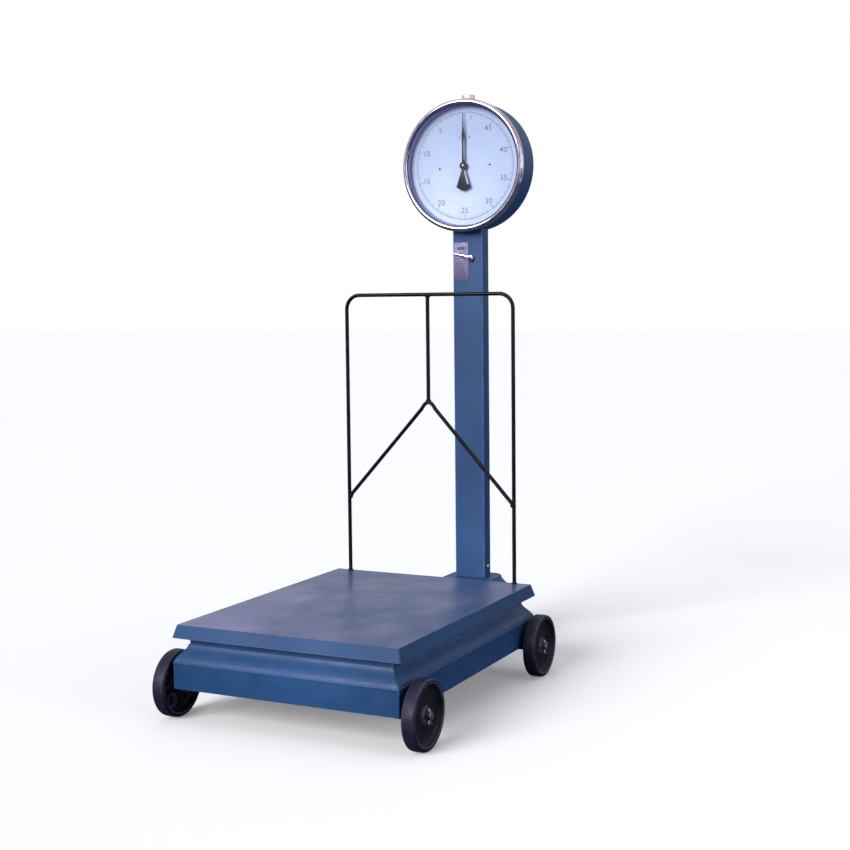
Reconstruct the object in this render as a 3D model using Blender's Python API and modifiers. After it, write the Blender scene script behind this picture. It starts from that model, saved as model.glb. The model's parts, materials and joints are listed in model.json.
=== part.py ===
"""Mechanical dial platform scale on four cast wheels.

A weighing platform rests on two levers inside a cast base. The long lever pulls
a rod up the column, two springs in the dial head resist it, and a rack turns the
pointer. Units are metres, +Z is up, the operator faces +Y, and the origin is on
the floor under the middle of the scale.
"""
import math

import bmesh
import bpy
from mathutils import Matrix

GAP = 0.0003                     # clearance between pieces that touch

# Wheels and axles
WHEEL_RADIUS = 0.0625
WHEEL_OUTER_X = 0.2674
WHEEL_WIDTH = 0.025
HUB_INNER_X = 0.2350
HUB_OUTER_X = 0.2600
AXLE_RADIUS = 0.008
AXLE_HALF_LENGTH = 0.2715
FRONT_AXLE_Y = -0.3918
REAR_AXLE_Y = 0.1448
COTTER_X = 0.2660

# Base casting
BASE_WIDTH = 0.464
BASE_LENGTH = 0.615
BASE_WALL = 0.005
APRON_BOTTOM = 0.0643
RIDGE_Z = 0.114
SHELL_TOP = 0.1444
NECK_INSET = 0.021
NECK_TOP = 0.1555
TONGUE_WIDTH = 0.156
TONGUE_REAR = 0.4543
TONGUE_CORNER = 0.050
DECK_TOP = 0.1440
DECK_THICKNESS = 0.006
RIB_BOTTOM = 0.0725
RIB_TOP = 0.079

# Platform
PLATFORM_Y = -0.129
PLATFORM_WIDTH = 0.455
PLATFORM_LENGTH = 0.596
PLATFORM_TOP = 0.182
PLATE = 0.004
SKIRT_DROP = 0.022
SKIRT_FLARE = 0.007

# Guard
GUARD_X = 0.1927
GUARD_Y = PLATFORM_Y + 0.2915
GUARD_TOP = 0.7777
GUARD_CORNER = 0.030
GUARD_RADIUS = 0.004
BRACE_APEX = 0.5527
BRACE_ENDS = 0.3464

# Levers: distances along the base from each lever's own fulcrum
MAIN_FULCRUM_Y = PLATFORM_Y - 0.262
MAIN_FULCRUM_Z = 0.104
SHORT_FULCRUM_Y = PLATFORM_Y + 0.262
SHORT_FULCRUM_Z = 0.106
LOAD_ARM = 0.060
LINK_ARM = 0.262
DRAFT_ARM = 0.769
MAIN_REST_TILT = 0.0155
NOSE_DROP = 0.027                # short lever's nose below its fulcrum
LEVER_PLATE = 0.012
CHEEK_X = 0.190
CHEEK_WIDTH = 0.016
TAPER_START = 0.082              # where the arms begin to close in

# Column and dial head
COLUMN_WIDTH = 0.0726
COLUMN_DEPTH = 0.0369
COLUMN_Y = 0.38375
COLUMN_WALL = 0.0025
COLUMN_TOP = 0.9365
LOCK_X = 0.009
LOCK_Z = 0.8565
LOCK_TIP = (-0.045, 0.0130)     # tip of the lock lever from its screw
DIAL_Y = 0.3343                  # front plane of the bezel
DIAL_Z = 1.0576
BEZEL_RADIUS = 0.1433
CASE_RADIUS = 0.1405
CASE_DEPTH = 0.0774
HEAD_STEPS = 44                  # facets round every ring of the head
DRAFT_Y = MAIN_FULCRUM_Y + DRAFT_ARM
PINION_RADIUS = 0.005
TOOTH_COUNT = 16
SPRING_X = 0.045
HANGER_Z = 1.145
CROSSHEAD_Z = 0.995

# Directions for outlines: along X, along Y and flat
ACROSS = Matrix(((0, 0, 1, 0), (1, 0, 0, 0), (0, 1, 0, 0), (0, 0, 0, 1)))
FACING = Matrix(((1, 0, 0, 0), (0, 0, -1, 0), (0, 1, 0, 0), (0, 0, 0, 1)))
FLAT = Matrix.Identity(4)

SMOOTH_ANGLE = math.radians(35)


# ---------------------------------------------------------------- scene helpers

def clear_scene():
    """Remove every object of the open scene."""
    for obj in list(bpy.data.objects):
        bpy.data.objects.remove(obj, do_unlink=True)


def new_collection(name):
    """A collection linked to the scene."""
    collection = bpy.data.collections.new(name)
    bpy.context.scene.collection.children.link(collection)
    return collection


clear_scene()
PARTS = new_collection("dial_platform_scale")
CUTTERS = new_collection("cutters")


def material(name, colour, metallic, roughness):
    """A Principled material with one colour and finish."""
    mat = bpy.data.materials.new(name)
    mat.use_nodes = True
    shader = mat.node_tree.nodes["Principled BSDF"]
    shader.inputs["Base Color"].default_value = (*colour, 1.0)
    shader.inputs["Metallic"].default_value = metallic
    shader.inputs["Roughness"].default_value = roughness
    mat.diffuse_color = (*colour, 1.0)
    return mat


BLUE_PAINT = material("blue_paint", (0.045, 0.115, 0.290), 0.0, 0.35)
PLATE_PAINT = material("plate_paint", (0.170, 0.190, 0.370), 0.0, 0.50)
CAST_IRON = material("cast_iron", (0.025, 0.024, 0.035), 0.6, 0.50)
BLACK_PAINT = material("black_paint", (0.010, 0.010, 0.014), 0.0, 0.30)
STEEL = material("steel", (0.550, 0.550, 0.570), 1.0, 0.35)
CHROME = material("chrome", (0.800, 0.810, 0.830), 1.0, 0.08)
BRASS = material("brass", (0.720, 0.500, 0.200), 1.0, 0.28)
DIAL_ENAMEL = material("dial_enamel", (0.700, 0.780, 0.900), 0.0, 0.40)
GLASS = material("glass", (0.900, 0.940, 0.960), 0.0, 0.05)
LABEL = material("label_aluminium", (0.420, 0.380, 0.560), 0.6, 0.45)


def add_object(name, mesh, mat, collection=PARTS):
    """Link a mesh as a named object with one material."""
    obj = bpy.data.objects.new(name, mesh)
    collection.objects.link(obj)
    if mat is not None:
        mesh.materials.append(mat)
    if collection is CUTTERS:
        obj.hide_render = True
        obj.display_type = "WIRE"
    return obj


def mesh_object(name, bm, mat, collection=PARTS):
    """Turn a bmesh into a named object, smooth except at its sharp edges."""
    mesh = bpy.data.meshes.new(name)
    bm.to_mesh(mesh)
    bm.free()
    mesh.shade_smooth()
    mesh.set_sharp_from_angle(angle=SMOOTH_ANGLE)
    return add_object(name, mesh, mat, collection)


def box(name, size, centre, mat=None, collection=PARTS):
    """A rectangular block."""
    bm = bmesh.new()
    bmesh.ops.create_cube(bm, size=1.0)
    bmesh.ops.scale(bm, vec=size, verts=bm.verts)
    obj = mesh_object(name, bm, mat, collection)
    obj.location = centre
    return obj


def bar(name, radius, length, centre, axis, mat=None, sides=20, collection=PARTS):
    """A round bar along one of the axes X, Y or Z."""
    bm = bmesh.new()
    bmesh.ops.create_cone(bm, cap_ends=True, segments=sides, radius1=radius,
                          radius2=radius, depth=length)
    obj = mesh_object(name, bm, mat, collection)
    obj.location = centre
    obj.rotation_euler = {"X": (0, math.pi / 2, 0), "Y": (math.pi / 2, 0, 0),
                          "Z": (0, 0, 0)}[axis]
    return obj


def turned(name, profile, closed, steps, mat, location, rotation, collection=PARTS):
    """A piece turned from a profile of (radius, height) points, down its outer side."""
    bm = bmesh.new()
    verts = [bm.verts.new((radius, 0.0, height)) for radius, height in profile]
    pairs = list(zip(verts, verts[1:]))
    if closed:
        pairs.append((verts[-1], verts[0]))
    for start, end in pairs:
        bm.edges.new((start, end))
    mesh = bpy.data.meshes.new(name)
    bm.to_mesh(mesh)
    bm.free()
    obj = add_object(name, mesh, mat, collection)
    screw = obj.modifiers.new("turn", "SCREW")
    screw.steps = steps
    screw.render_steps = steps
    screw.use_merge_vertices = True
    screw.merge_threshold = 0.00001
    screw.use_smooth_shade = True
    obj.location = location
    obj.rotation_euler = rotation
    return obj


def to_mesh(curve_object, name, mat, collection):
    """Replace a curve object by a welded mesh object at the same place."""
    graph = bpy.context.evaluated_depsgraph_get()
    mesh = bpy.data.meshes.new_from_object(curve_object.evaluated_get(graph))
    place = curve_object.matrix_world.copy()
    bpy.data.objects.remove(curve_object, do_unlink=True)
    bm = bmesh.new()
    bm.from_mesh(mesh)
    bpy.data.meshes.remove(mesh)
    bmesh.ops.remove_doubles(bm, verts=bm.verts, dist=0.00001)
    obj = mesh_object(name, bm, mat, collection)
    obj.matrix_world = place
    return obj


def prism(name, outlines, thickness, centre, direction, mat=None, collection=PARTS):
    """A flat outline, with any holes, extruded to a thickness about its centre."""
    curve = bpy.data.curves.new(name + "_outline", "CURVE")
    curve.dimensions = "2D"
    curve.fill_mode = "BOTH"
    curve.extrude = thickness / 2
    for outline in outlines:
        spline = curve.splines.new("POLY")
        spline.points.add(len(outline) - 1)
        for point, (a, b) in zip(spline.points, outline):
            point.co = (a, b, 0.0, 1.0)
        spline.use_cyclic_u = True
    drawing = bpy.data.objects.new(name + "_outline", curve)
    PARTS.objects.link(drawing)
    drawing.matrix_world = Matrix.Translation(centre) @ direction
    bpy.context.view_layer.update()
    return to_mesh(drawing, name, mat, collection)


def wire(name, points, radius, mat, cyclic=False, resolution=2, collection=PARTS):
    """A round wire or rod along a run of points, with filled ends."""
    curve = bpy.data.curves.new(name + "_path", "CURVE")
    curve.dimensions = "3D"
    curve.bevel_depth = radius
    curve.bevel_resolution = resolution
    curve.use_fill_caps = True
    spline = curve.splines.new("POLY")
    spline.points.add(len(points) - 1)
    for point, place in zip(spline.points, points):
        point.co = (*place, 1.0)
    spline.use_cyclic_u = cyclic
    path = bpy.data.objects.new(name + "_path", curve)
    PARTS.objects.link(path)
    bpy.context.view_layer.update()
    return to_mesh(path, name, mat, collection)


def boolean(obj, other, operation):
    """Cut or join another object with a Boolean modifier."""
    modifier = obj.modifiers.new(other.name, "BOOLEAN")
    modifier.operation = operation
    modifier.object = other


def cut(obj, *cutters):
    """Take each cutter's shape out of an object."""
    for cutter in cutters:
        boolean(obj, cutter, "DIFFERENCE")


def join(obj, *additions):
    """Add each addition's shape to an object."""
    for addition in additions:
        boolean(obj, addition, "UNION")


def arc(centre, radius, start, end, steps):
    """Points on an arc, angles in degrees, both ends included."""
    angles = [math.radians(start + (end - start) * i / steps) for i in range(steps + 1)]
    return [(centre[0] + radius * math.cos(a), centre[1] + radius * math.sin(a))
            for a in angles]


def circle(radius, sides, centre=(0.0, 0.0)):
    """Points of a closed circle."""
    return arc(centre, radius, 0, 360, sides)[:-1]


def rounded_rectangle(width, height, radius, steps=3):
    """Points of a rectangle with round corners, centred."""
    a = width / 2 - radius
    b = height / 2 - radius
    return (arc((a, b), radius, 0, 90, steps) + arc((-a, b), radius, 90, 180, steps)
            + arc((-a, -b), radius, 180, 270, steps) + arc((a, -b), radius, 270, 360, steps))


def mirrored(points):
    """An outline closed by its own mirror image across the line a = 0."""
    return points + [(-a, b) for a, b in reversed(points) if a > 0]


# ------------------------------------------------------------------------- base

def base_outline(inset):
    """Plan outline of the base with its rear tongue, counter-clockwise."""
    half = BASE_WIDTH / 2 - inset
    front = PLATFORM_Y - BASE_LENGTH / 2 + inset
    back = PLATFORM_Y + BASE_LENGTH / 2 - inset
    corner = (TONGUE_WIDTH / 2 - TONGUE_CORNER, TONGUE_REAR - TONGUE_CORNER)
    right = [(half, front), (half, back), (TONGUE_WIDTH / 2 - inset, back)]
    right += arc(corner, TONGUE_CORNER - inset, 0, 90, 5)
    return right + [(-x, y) for x, y in reversed(right)]


def base_profile():
    """Inset and height up the outside: plain apron, then an ogee to the neck."""
    steps = 7
    ogee = []
    for i in range(steps + 1):
        t = i / steps
        inset = NECK_INSET * (1 - math.cos(math.pi * t)) / 2
        ogee.append((inset, RIDGE_Z + (SHELL_TOP - RIDGE_Z) * t))
    return [(0.0, APRON_BOTTOM)] + ogee


def build_base_frame():
    """The hollow base casting: apron, neck rim, tongue deck, ribs and axle lugs."""
    bm = bmesh.new()
    rings = [[bm.verts.new((x, y, height)) for x, y in base_outline(inset)]
             for inset, height in base_profile()]
    for lower, upper in zip(rings, rings[1:]):
        for i, start in enumerate(lower):
            j = (i + 1) % len(lower)
            bm.faces.new((start, lower[j], upper[j], upper[i]))
    base = mesh_object("base_frame", bm, BLUE_PAINT)
    walls = base.modifiers.new("walls", "SOLIDIFY")
    walls.thickness = BASE_WALL
    walls.offset = -1.0
    walls.use_even_offset = True

    rim_height = NECK_TOP - SHELL_TOP + 0.005
    rim_width = BASE_WIDTH - 2 * NECK_INSET - 0.002
    rim_length = BASE_LENGTH - 2 * NECK_INSET - 0.002
    rim_outlines = [rounded_rectangle(rim_width, rim_length, 0.002, 1),
                    rounded_rectangle(rim_width - 0.010, rim_length - 0.010, 0.002, 1)]
    rim = prism("neck_rim", rim_outlines, rim_height,
                (0, PLATFORM_Y, NECK_TOP - rim_height / 2), FLAT, collection=CUTTERS)

    inset = NECK_INSET + 0.0015
    tongue_half = TONGUE_WIDTH / 2 - inset
    deck_front = PLATFORM_Y + BASE_LENGTH / 2 - NECK_INSET - 0.004
    corner = (TONGUE_WIDTH / 2 - TONGUE_CORNER, TONGUE_REAR - TONGUE_CORNER)
    deck_edge = [(tongue_half, deck_front)] + arc(corner, TONGUE_CORNER - inset, 0, 90, 5)
    deck = prism("tongue_deck", [mirrored(deck_edge)], DECK_THICKNESS,
                 (0, 0, DECK_TOP - DECK_THICKNESS / 2), FLAT, collection=CUTTERS)
    spigot_outline = rounded_rectangle(COLUMN_WIDTH - 2 * COLUMN_WALL - 2 * GAP,
                                       COLUMN_DEPTH - 2 * COLUMN_WALL - 2 * GAP, 0.0035)
    spigot = prism("column_spigot", [spigot_outline], 0.045,
                   (0, COLUMN_Y, DECK_TOP + 0.020), FLAT, collection=CUTTERS)
    join(base, rim, deck, spigot)

    inner_width = BASE_WIDTH - 2 * BASE_WALL + 0.004
    rib_height = RIB_TOP - RIB_BOTTOM
    for end, y in (("front", MAIN_FULCRUM_Y), ("rear", SHORT_FULCRUM_Y)):
        rib = box(end + "_rib", (inner_width, 0.048, rib_height),
                  (0, y, (RIB_TOP + RIB_BOTTOM) / 2), collection=CUTTERS)
        join(base, rib)
    for end, y in (("front", FRONT_AXLE_Y), ("rear", REAR_AXLE_Y)):
        for side, sign in (("left", -1), ("right", 1)):
            lug = box(f"{end}_{side}_lug", (0.024, 0.028, 0.022),
                      (sign * 0.217, y, 0.0625), collection=CUTTERS)
            join(base, lug)
        hole = bar(end + "_axle_hole", AXLE_RADIUS + GAP, 0.480, (0, y, WHEEL_RADIUS),
                   "X", collection=CUTTERS)
        cut(base, hole)
    rod_hole = box("rod_hole", (0.030, 0.024, 0.080), (0, DRAFT_Y, 0.165),
                   collection=CUTTERS)
    cut(base, rod_hole)
    for side, sign in (("left", -1), ("right", 1)):
        cut(base, bar(side + "_column_screw_hole", 0.0028, 0.024,
                      (sign * 0.030, COLUMN_Y, 0.168), "X", sides=10, collection=CUTTERS))


def build_axles():
    """Two through axles that carry the wheels."""
    for end, y in (("front", FRONT_AXLE_Y), ("rear", REAR_AXLE_Y)):
        axle = bar(end + "_axle", AXLE_RADIUS, 2 * AXLE_HALF_LENGTH,
                   (0, y, WHEEL_RADIUS), "X", STEEL)
        for side, sign in (("left", -1), ("right", 1)):
            cut(axle, bar(f"{end}_{side}_cotter_hole", 0.0019, 0.030,
                          (sign * COTTER_X, y, WHEEL_RADIUS), "Z", sides=8,
                          collection=CUTTERS))


def wheel_profile():
    """Outer side, rim lips, dished web and hub of a cast wheel, heights along its axle."""
    outer = WHEEL_WIDTH / 2
    hub_out = HUB_OUTER_X - (WHEEL_OUTER_X - WHEEL_WIDTH / 2)
    hub_in = HUB_INNER_X - (WHEEL_OUTER_X - WHEEL_WIDTH / 2)
    rim = WHEEL_RADIUS
    return [(rim - 0.0025, outer), (rim, outer - 0.0025), (rim, -outer + 0.0025),
            (rim - 0.0025, -outer), (0.0530, -outer), (0.0500, -0.0035),
            (0.0200, -0.0035), (0.0165, hub_in), (AXLE_RADIUS + GAP, hub_in),
            (AXLE_RADIUS + GAP, hub_out), (0.0155, hub_out), (0.0190, 0.0035),
            (0.0500, 0.0035), (0.0530, outer)]


def build_wheels():
    """Four wheels with blind pockets inside, each with its washer and split pin."""
    for end, y in (("front", FRONT_AXLE_Y), ("rear", REAR_AXLE_Y)):
        for side, sign in (("left", -1), ("right", 1)):
            turn = (0, sign * math.pi / 2, 0)
            place = (sign * (WHEEL_OUTER_X - WHEEL_WIDTH / 2), y, WHEEL_RADIUS)
            name = f"{end}_{side}"
            wheel = turned("wheel_" + name, wheel_profile(), True, 28, CAST_IRON,
                           place, turn)
            for i in range(5):
                angle = 2 * math.pi * (i + 0.25) / 5
                centre = (place[0] - sign * 0.0090, y + 0.0350 * math.cos(angle),
                          WHEEL_RADIUS + 0.0350 * math.sin(angle))
                cut(wheel, bar(f"{name}_web_pocket_{i}", 0.0120, 0.020, centre, "X",
                               sides=12, collection=CUTTERS))
            washer = [(0.0145, 0.001), (0.0145, -0.001), (AXLE_RADIUS + GAP, -0.001),
                      (AXLE_RADIUS + GAP, 0.001)]
            washer_x = HUB_OUTER_X + GAP + 0.001
            turned("washer_" + name, washer, True, 16, STEEL,
                   (sign * washer_x, y, WHEEL_RADIUS), turn)
            wire("split_pin_" + name,
                 [(sign * COTTER_X, y, WHEEL_RADIUS + 0.0125),
                  (sign * COTTER_X, y, WHEEL_RADIUS - 0.0090),
                  (sign * (COTTER_X + 0.0020), y + 0.0030, WHEEL_RADIUS - 0.0180)],
                 0.0015, STEEL, resolution=1)


# --------------------------------------------------------------------- platform

def build_platform_plate():
    """Flat plate with a flared skirt on all four sides, open underneath."""
    top = [(PLATFORM_WIDTH / 2, PLATFORM_LENGTH / 2, PLATFORM_TOP),
           (PLATFORM_WIDTH / 2 + SKIRT_FLARE, PLATFORM_LENGTH / 2 + SKIRT_FLARE,
            PLATFORM_TOP - SKIRT_DROP)]
    bm = bmesh.new()
    rings = []
    for half_x, half_y, height in top:
        rings.append([bm.verts.new((sx * half_x, PLATFORM_Y + sy * half_y, height))
                      for sx, sy in ((1, -1), (1, 1), (-1, 1), (-1, -1))])
    bm.faces.new(rings[0])
    for i in range(4):
        j = (i + 1) % 4
        bm.faces.new((rings[1][i], rings[1][j], rings[0][j], rings[0][i]))
    bevel_edges = [edge for edge in bm.edges
                   if abs(edge.verts[0].co.z - edge.verts[1].co.z) < GAP
                   and edge.verts[0].co.z > PLATFORM_TOP - GAP]
    bmesh.ops.bevel(bm, geom=bevel_edges, offset=0.002, segments=2, affect="EDGES")
    plate = mesh_object("platform_plate", bm, PLATE_PAINT)
    sheet = plate.modifiers.new("sheet", "SOLIDIFY")
    sheet.thickness = PLATE
    sheet.offset = -1.0
    sheet.use_even_offset = True
    for side, sign in (("left", -1), ("right", 1)):
        cut(plate, bar(side + "_guard_hole", GUARD_RADIUS + GAP, 0.030,
                       (sign * GUARD_X, GUARD_Y, PLATFORM_TOP), "Z", sides=12,
                       collection=CUTTERS))


def build_platform_feet():
    """Four bearing blocks under the plate, each with a notch over a load knife."""
    top = PLATFORM_TOP - PLATE - GAP
    rest_rise = LOAD_ARM * math.sin(MAIN_REST_TILT)
    rows = (("front", MAIN_FULCRUM_Y + LOAD_ARM, MAIN_FULCRUM_Z + rest_rise),
            ("rear", SHORT_FULCRUM_Y - LOAD_ARM, SHORT_FULCRUM_Z))
    for end, y, edge in rows:
        for side, sign in (("left", -1), ("right", 1)):
            notch = [(-0.013, edge - 0.008), (-0.0095, edge - 0.008), (0.0, edge + 2 * GAP),
                     (0.0095, edge - 0.008), (0.013, edge - 0.008), (0.013, top),
                     (-0.013, top)]
            prism(f"platform_foot_{end}_{side}", [notch], 0.012,
                  (sign * (CHEEK_X - 0.017), y, 0), ACROSS, CAST_IRON)


def build_guard():
    """Black rod guard at the rear of the platform: hoop, bent brace and centre rod."""
    foot = PLATFORM_TOP - PLATE - 0.004
    top = GUARD_TOP
    right = [(GUARD_X, foot)]
    right += arc((GUARD_X - GUARD_CORNER, top - GUARD_CORNER), GUARD_CORNER, 0, 90, 6)
    hoop = [(x, GUARD_Y, z) for x, z in mirrored(right)]
    wire("guard_hoop", hoop, GUARD_RADIUS, BLACK_PAINT)
    reach = GUARD_X - 1.7 * GUARD_RADIUS - GAP
    slope = (BRACE_APEX - BRACE_ENDS) / GUARD_X
    shoulder = 0.012
    brace = [(reach, BRACE_ENDS), (shoulder, BRACE_APEX - slope * shoulder * 0.8),
             (0.004, BRACE_APEX)]
    wire("guard_brace", [(x, GUARD_Y, z) for x, z in mirrored(brace)], GUARD_RADIUS,
         BLACK_PAINT)
    wire("guard_rod", [(0, GUARD_Y, BRACE_APEX + GUARD_RADIUS + GAP),
                       (0, GUARD_Y, GUARD_TOP - GUARD_RADIUS - GAP)],
         GUARD_RADIUS, BLACK_PAINT)


# ----------------------------------------------------------------------- levers

def knife_outline(up, clearance=0.0):
    """Section of a knife pivot: a wedge with its edge at the origin."""
    c = clearance
    points = [(0.0, -c), (0.0045 + c, 0.006 - c), (0.0045 + c, 0.0115 + c),
              (-0.0045 - c, 0.0115 + c), (-0.0045 - c, 0.006 - c)]
    if up:
        points = [(a, -b) for a, b in points]
    return points


def knife(name, centre, length, up, lever):
    """A knife pivot through a lever, and the hole it sits in."""
    prism(name, [knife_outline(up)], length, centre, ACROSS, STEEL)
    hole = prism(name + "_seat", [knife_outline(up, GAP)], length + 0.02, centre, ACROSS,
                 collection=CUTTERS)
    cut(lever, hole)


def add_cheeks(lever, name, y, z, direction):
    """Deep blocks at a lever's wide end, which hold its knives."""
    for side, sign in (("left", -1), ("right", 1)):
        cheek = box(f"{name}_{side}_cheek", (CHEEK_WIDTH, 0.090, 0.028),
                    (sign * CHEEK_X, y + direction * 0.030, z), collection=CUTTERS)
        join(lever, cheek)


def build_main_lever():
    """Long A-shaped lever from the front fulcrum to the rod under the column."""
    outer = CHEEK_X + 0.008
    inner = CHEEK_X - 0.008
    apex = DRAFT_ARM - 0.300
    cross = LINK_ARM
    slope = (outer - 0.007) / (apex - TAPER_START)
    edge = outer - slope * (cross - 0.006 - TAPER_START) - 0.014
    frame = [(0.0, cross - 0.006), (edge, cross - 0.006), (inner, 0.080), (inner, 0.0),
             (outer, 0.0), (outer, TAPER_START), (0.007, apex), (0.007, DRAFT_ARM + 0.012)]
    rear_edge = outer - slope * (cross + 0.006 - TAPER_START) - 0.014
    window_tip = TAPER_START + (outer - 0.014) / slope
    window = mirrored([(0.0, window_tip), (rear_edge, cross + 0.006)])
    outline = [frame[0]] + frame[1:] + [(-a, b) for a, b in reversed(frame[1:])]
    tilt = Matrix.Rotation(MAIN_REST_TILT, 4, "X")
    lever = prism("main_lever", [outline, window], LEVER_PLATE,
                  (0, MAIN_FULCRUM_Y, MAIN_FULCRUM_Z), tilt, CAST_IRON)
    add_cheeks(lever, "main_lever", MAIN_FULCRUM_Y, MAIN_FULCRUM_Z, 1)
    rise = math.sin(MAIN_REST_TILT)
    knife("main_fulcrum_knife", (0, MAIN_FULCRUM_Y, MAIN_FULCRUM_Z),
          2 * (CHEEK_X + 0.024), False, lever)
    knife("main_load_knife", (0, MAIN_FULCRUM_Y + LOAD_ARM,
                              MAIN_FULCRUM_Z + LOAD_ARM * rise),
          2 * (CHEEK_X + 0.007), True, lever)
    nose_z = MAIN_FULCRUM_Z + DRAFT_ARM * rise - 0.0100
    knife("main_nose_knife", (0, DRAFT_Y, nose_z), 0.0185, False, lever)


def build_lever_link():
    """Closed link by which the long lever carries the short lever's nose."""
    middle = PLATFORM_Y
    low = SHORT_FULCRUM_Z - NOSE_DROP - LEVER_PLATE / 2 - 0.0032
    high = MAIN_FULCRUM_Z + LINK_ARM * math.sin(MAIN_REST_TILT) + LEVER_PLATE / 2 + 0.0006
    width = 0.030
    centre_y = middle - 0.003
    height = high - low
    outer = rounded_rectangle(width + 0.010, height + 0.010, 0.005)
    inner = rounded_rectangle(width, height, 0.002, 2)
    prism("lever_link", [outer, inner], 0.008, (0, centre_y, (low + high) / 2), ACROSS,
          STEEL)


def build_short_lever():
    """Short A-shaped lever from the rear fulcrum to the middle of the long lever."""
    outer = CHEEK_X + 0.008
    inner = CHEEK_X - 0.008
    nose = LINK_ARM + 0.012
    run = nose - TAPER_START
    drop = math.atan2(NOSE_DROP, LINK_ARM)
    slope = (outer - 0.008) / run
    inner_tip = TAPER_START + (outer - 0.017) / slope
    right = [(0.0, inner_tip), (inner, 0.078), (inner, 0.0), (outer, 0.0),
             (outer, TAPER_START), (0.008, nose)]
    outline = right + [(-a, b) for a, b in reversed(right[1:])]
    turn = Matrix.Rotation(math.pi, 4, "Z") @ Matrix.Rotation(-drop, 4, "X")
    lever = prism("short_lever", [outline], LEVER_PLATE,
                  (0, SHORT_FULCRUM_Y, SHORT_FULCRUM_Z), turn, CAST_IRON)
    add_cheeks(lever, "short_lever", SHORT_FULCRUM_Y, SHORT_FULCRUM_Z, -1)
    for side, sign in (("left", -1), ("right", 1)):
        knife(f"short_fulcrum_knife_{side}",
              (sign * (CHEEK_X + 0.007), SHORT_FULCRUM_Y, SHORT_FULCRUM_Z), 0.034,
              False, lever)
        knife(f"short_load_knife_{side}",
              (sign * (CHEEK_X - 0.008), SHORT_FULCRUM_Y - LOAD_ARM, SHORT_FULCRUM_Z),
              0.032, True, lever)


def build_fulcrum_stands():
    """Four notched stands on the base ribs under the fulcrum knives."""
    rows = (("front", MAIN_FULCRUM_Y, MAIN_FULCRUM_Z),
            ("rear", SHORT_FULCRUM_Y, SHORT_FULCRUM_Z))
    for end, y, edge in rows:
        for side, sign in (("left", -1), ("right", 1)):
            foot = RIB_TOP + GAP
            outline = [(-0.018, foot), (0.018, foot), (0.014, foot + 0.006),
                       (0.013, edge + 0.007), (0.0085, edge + 0.007),
                       (0.0, edge - 2 * GAP), (-0.0085, edge + 0.007),
                       (-0.013, edge + 0.007), (-0.014, foot + 0.006)]
            prism(f"fulcrum_stand_{end}_{side}", [outline], 0.010,
                  (sign * (CHEEK_X + 0.0165), y, 0), ACROSS, CAST_IRON)


# ----------------------------------------------------------------------- column

def build_column():
    """Rectangular column tube on the tongue, with the rod's slot and its screws."""
    outer = rounded_rectangle(COLUMN_WIDTH, COLUMN_DEPTH, 0.006)
    inner = rounded_rectangle(COLUMN_WIDTH - 2 * COLUMN_WALL,
                              COLUMN_DEPTH - 2 * COLUMN_WALL, 0.0035)
    foot = DECK_TOP + GAP
    tube = prism("column_tube", [outer, inner], COLUMN_TOP - foot,
                 (0, COLUMN_Y, (COLUMN_TOP + foot) / 2), FLAT, BLUE_PAINT)
    for side, sign in (("left", -1), ("right", 1)):
        cut(tube, bar(side + "_tube_screw_hole", 0.0028, 0.010,
                      (sign * COLUMN_WIDTH / 2, COLUMN_Y, 0.168), "X", sides=10,
                      collection=CUTTERS))
        screw = [(0.0, 0.0035), (0.0050, 0.0035), (0.0055, GAP), (0.0025, GAP),
                 (0.0025, -0.009), (0.0, -0.009)]
        turned(f"column_screw_{side}", screw, False, 12, STEEL,
               (sign * COLUMN_WIDTH / 2, COLUMN_Y, 0.168), (0, sign * math.pi / 2, 0))
    front = COLUMN_Y - COLUMN_DEPTH / 2
    cut(tube, bar("lock_screw_hole", 0.0023, 0.010, (LOCK_X, front, LOCK_Z), "Y",
                  sides=10, collection=CUTTERS))
    return tube


def build_lock_and_label():
    """Bright transport-lock lever on its screw, and the data plate beside it."""
    front = COLUMN_Y - COLUMN_DEPTH / 2
    angle = math.atan2(LOCK_TIP[1], LOCK_TIP[0])
    reach = math.hypot(*LOCK_TIP)
    degrees = math.degrees(angle)
    eye = arc((0, 0), 0.0072, degrees + 18, degrees + 342, 16)
    side = (-math.sin(angle), math.cos(angle))
    tip = [(reach * math.cos(angle) + side[0] * w, reach * math.sin(angle) + side[1] * w)
           for w in (-0.0014, 0.0014)]
    lever_y = front - 0.0050
    prism("lock_lever", [eye + tip, circle(0.0029, 10)], 0.0022,
          (LOCK_X, lever_y, LOCK_Z), FACING, CHROME)
    screw = [(0.0, 0.0032), (0.0044, 0.0024), (0.0050, 0.0011 + GAP),
             (0.0026, 0.0011 + GAP), (0.0026, -0.0047), (0.0020, -0.0047),
             (0.0020, -0.0090), (0.0, -0.0090)]
    turned("lock_screw", screw, False, 12, STEEL, (LOCK_X, lever_y, LOCK_Z),
           (math.pi / 2, 0, 0))
    plate = rounded_rectangle(0.0350, 0.0825, 0.002, 2)
    prism("label_plate", [plate], 0.0006, (-0.0150, front - GAP - 0.0003, 0.8503), FACING,
          LABEL)


# -------------------------------------------------------------------- dial head

FRONTWARD = (math.pi / 2, 0, 0)
DIAL_CENTRE = (0, DIAL_Y, DIAL_Z)
BACK_PLATE_DEPTH = 0.0682


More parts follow.
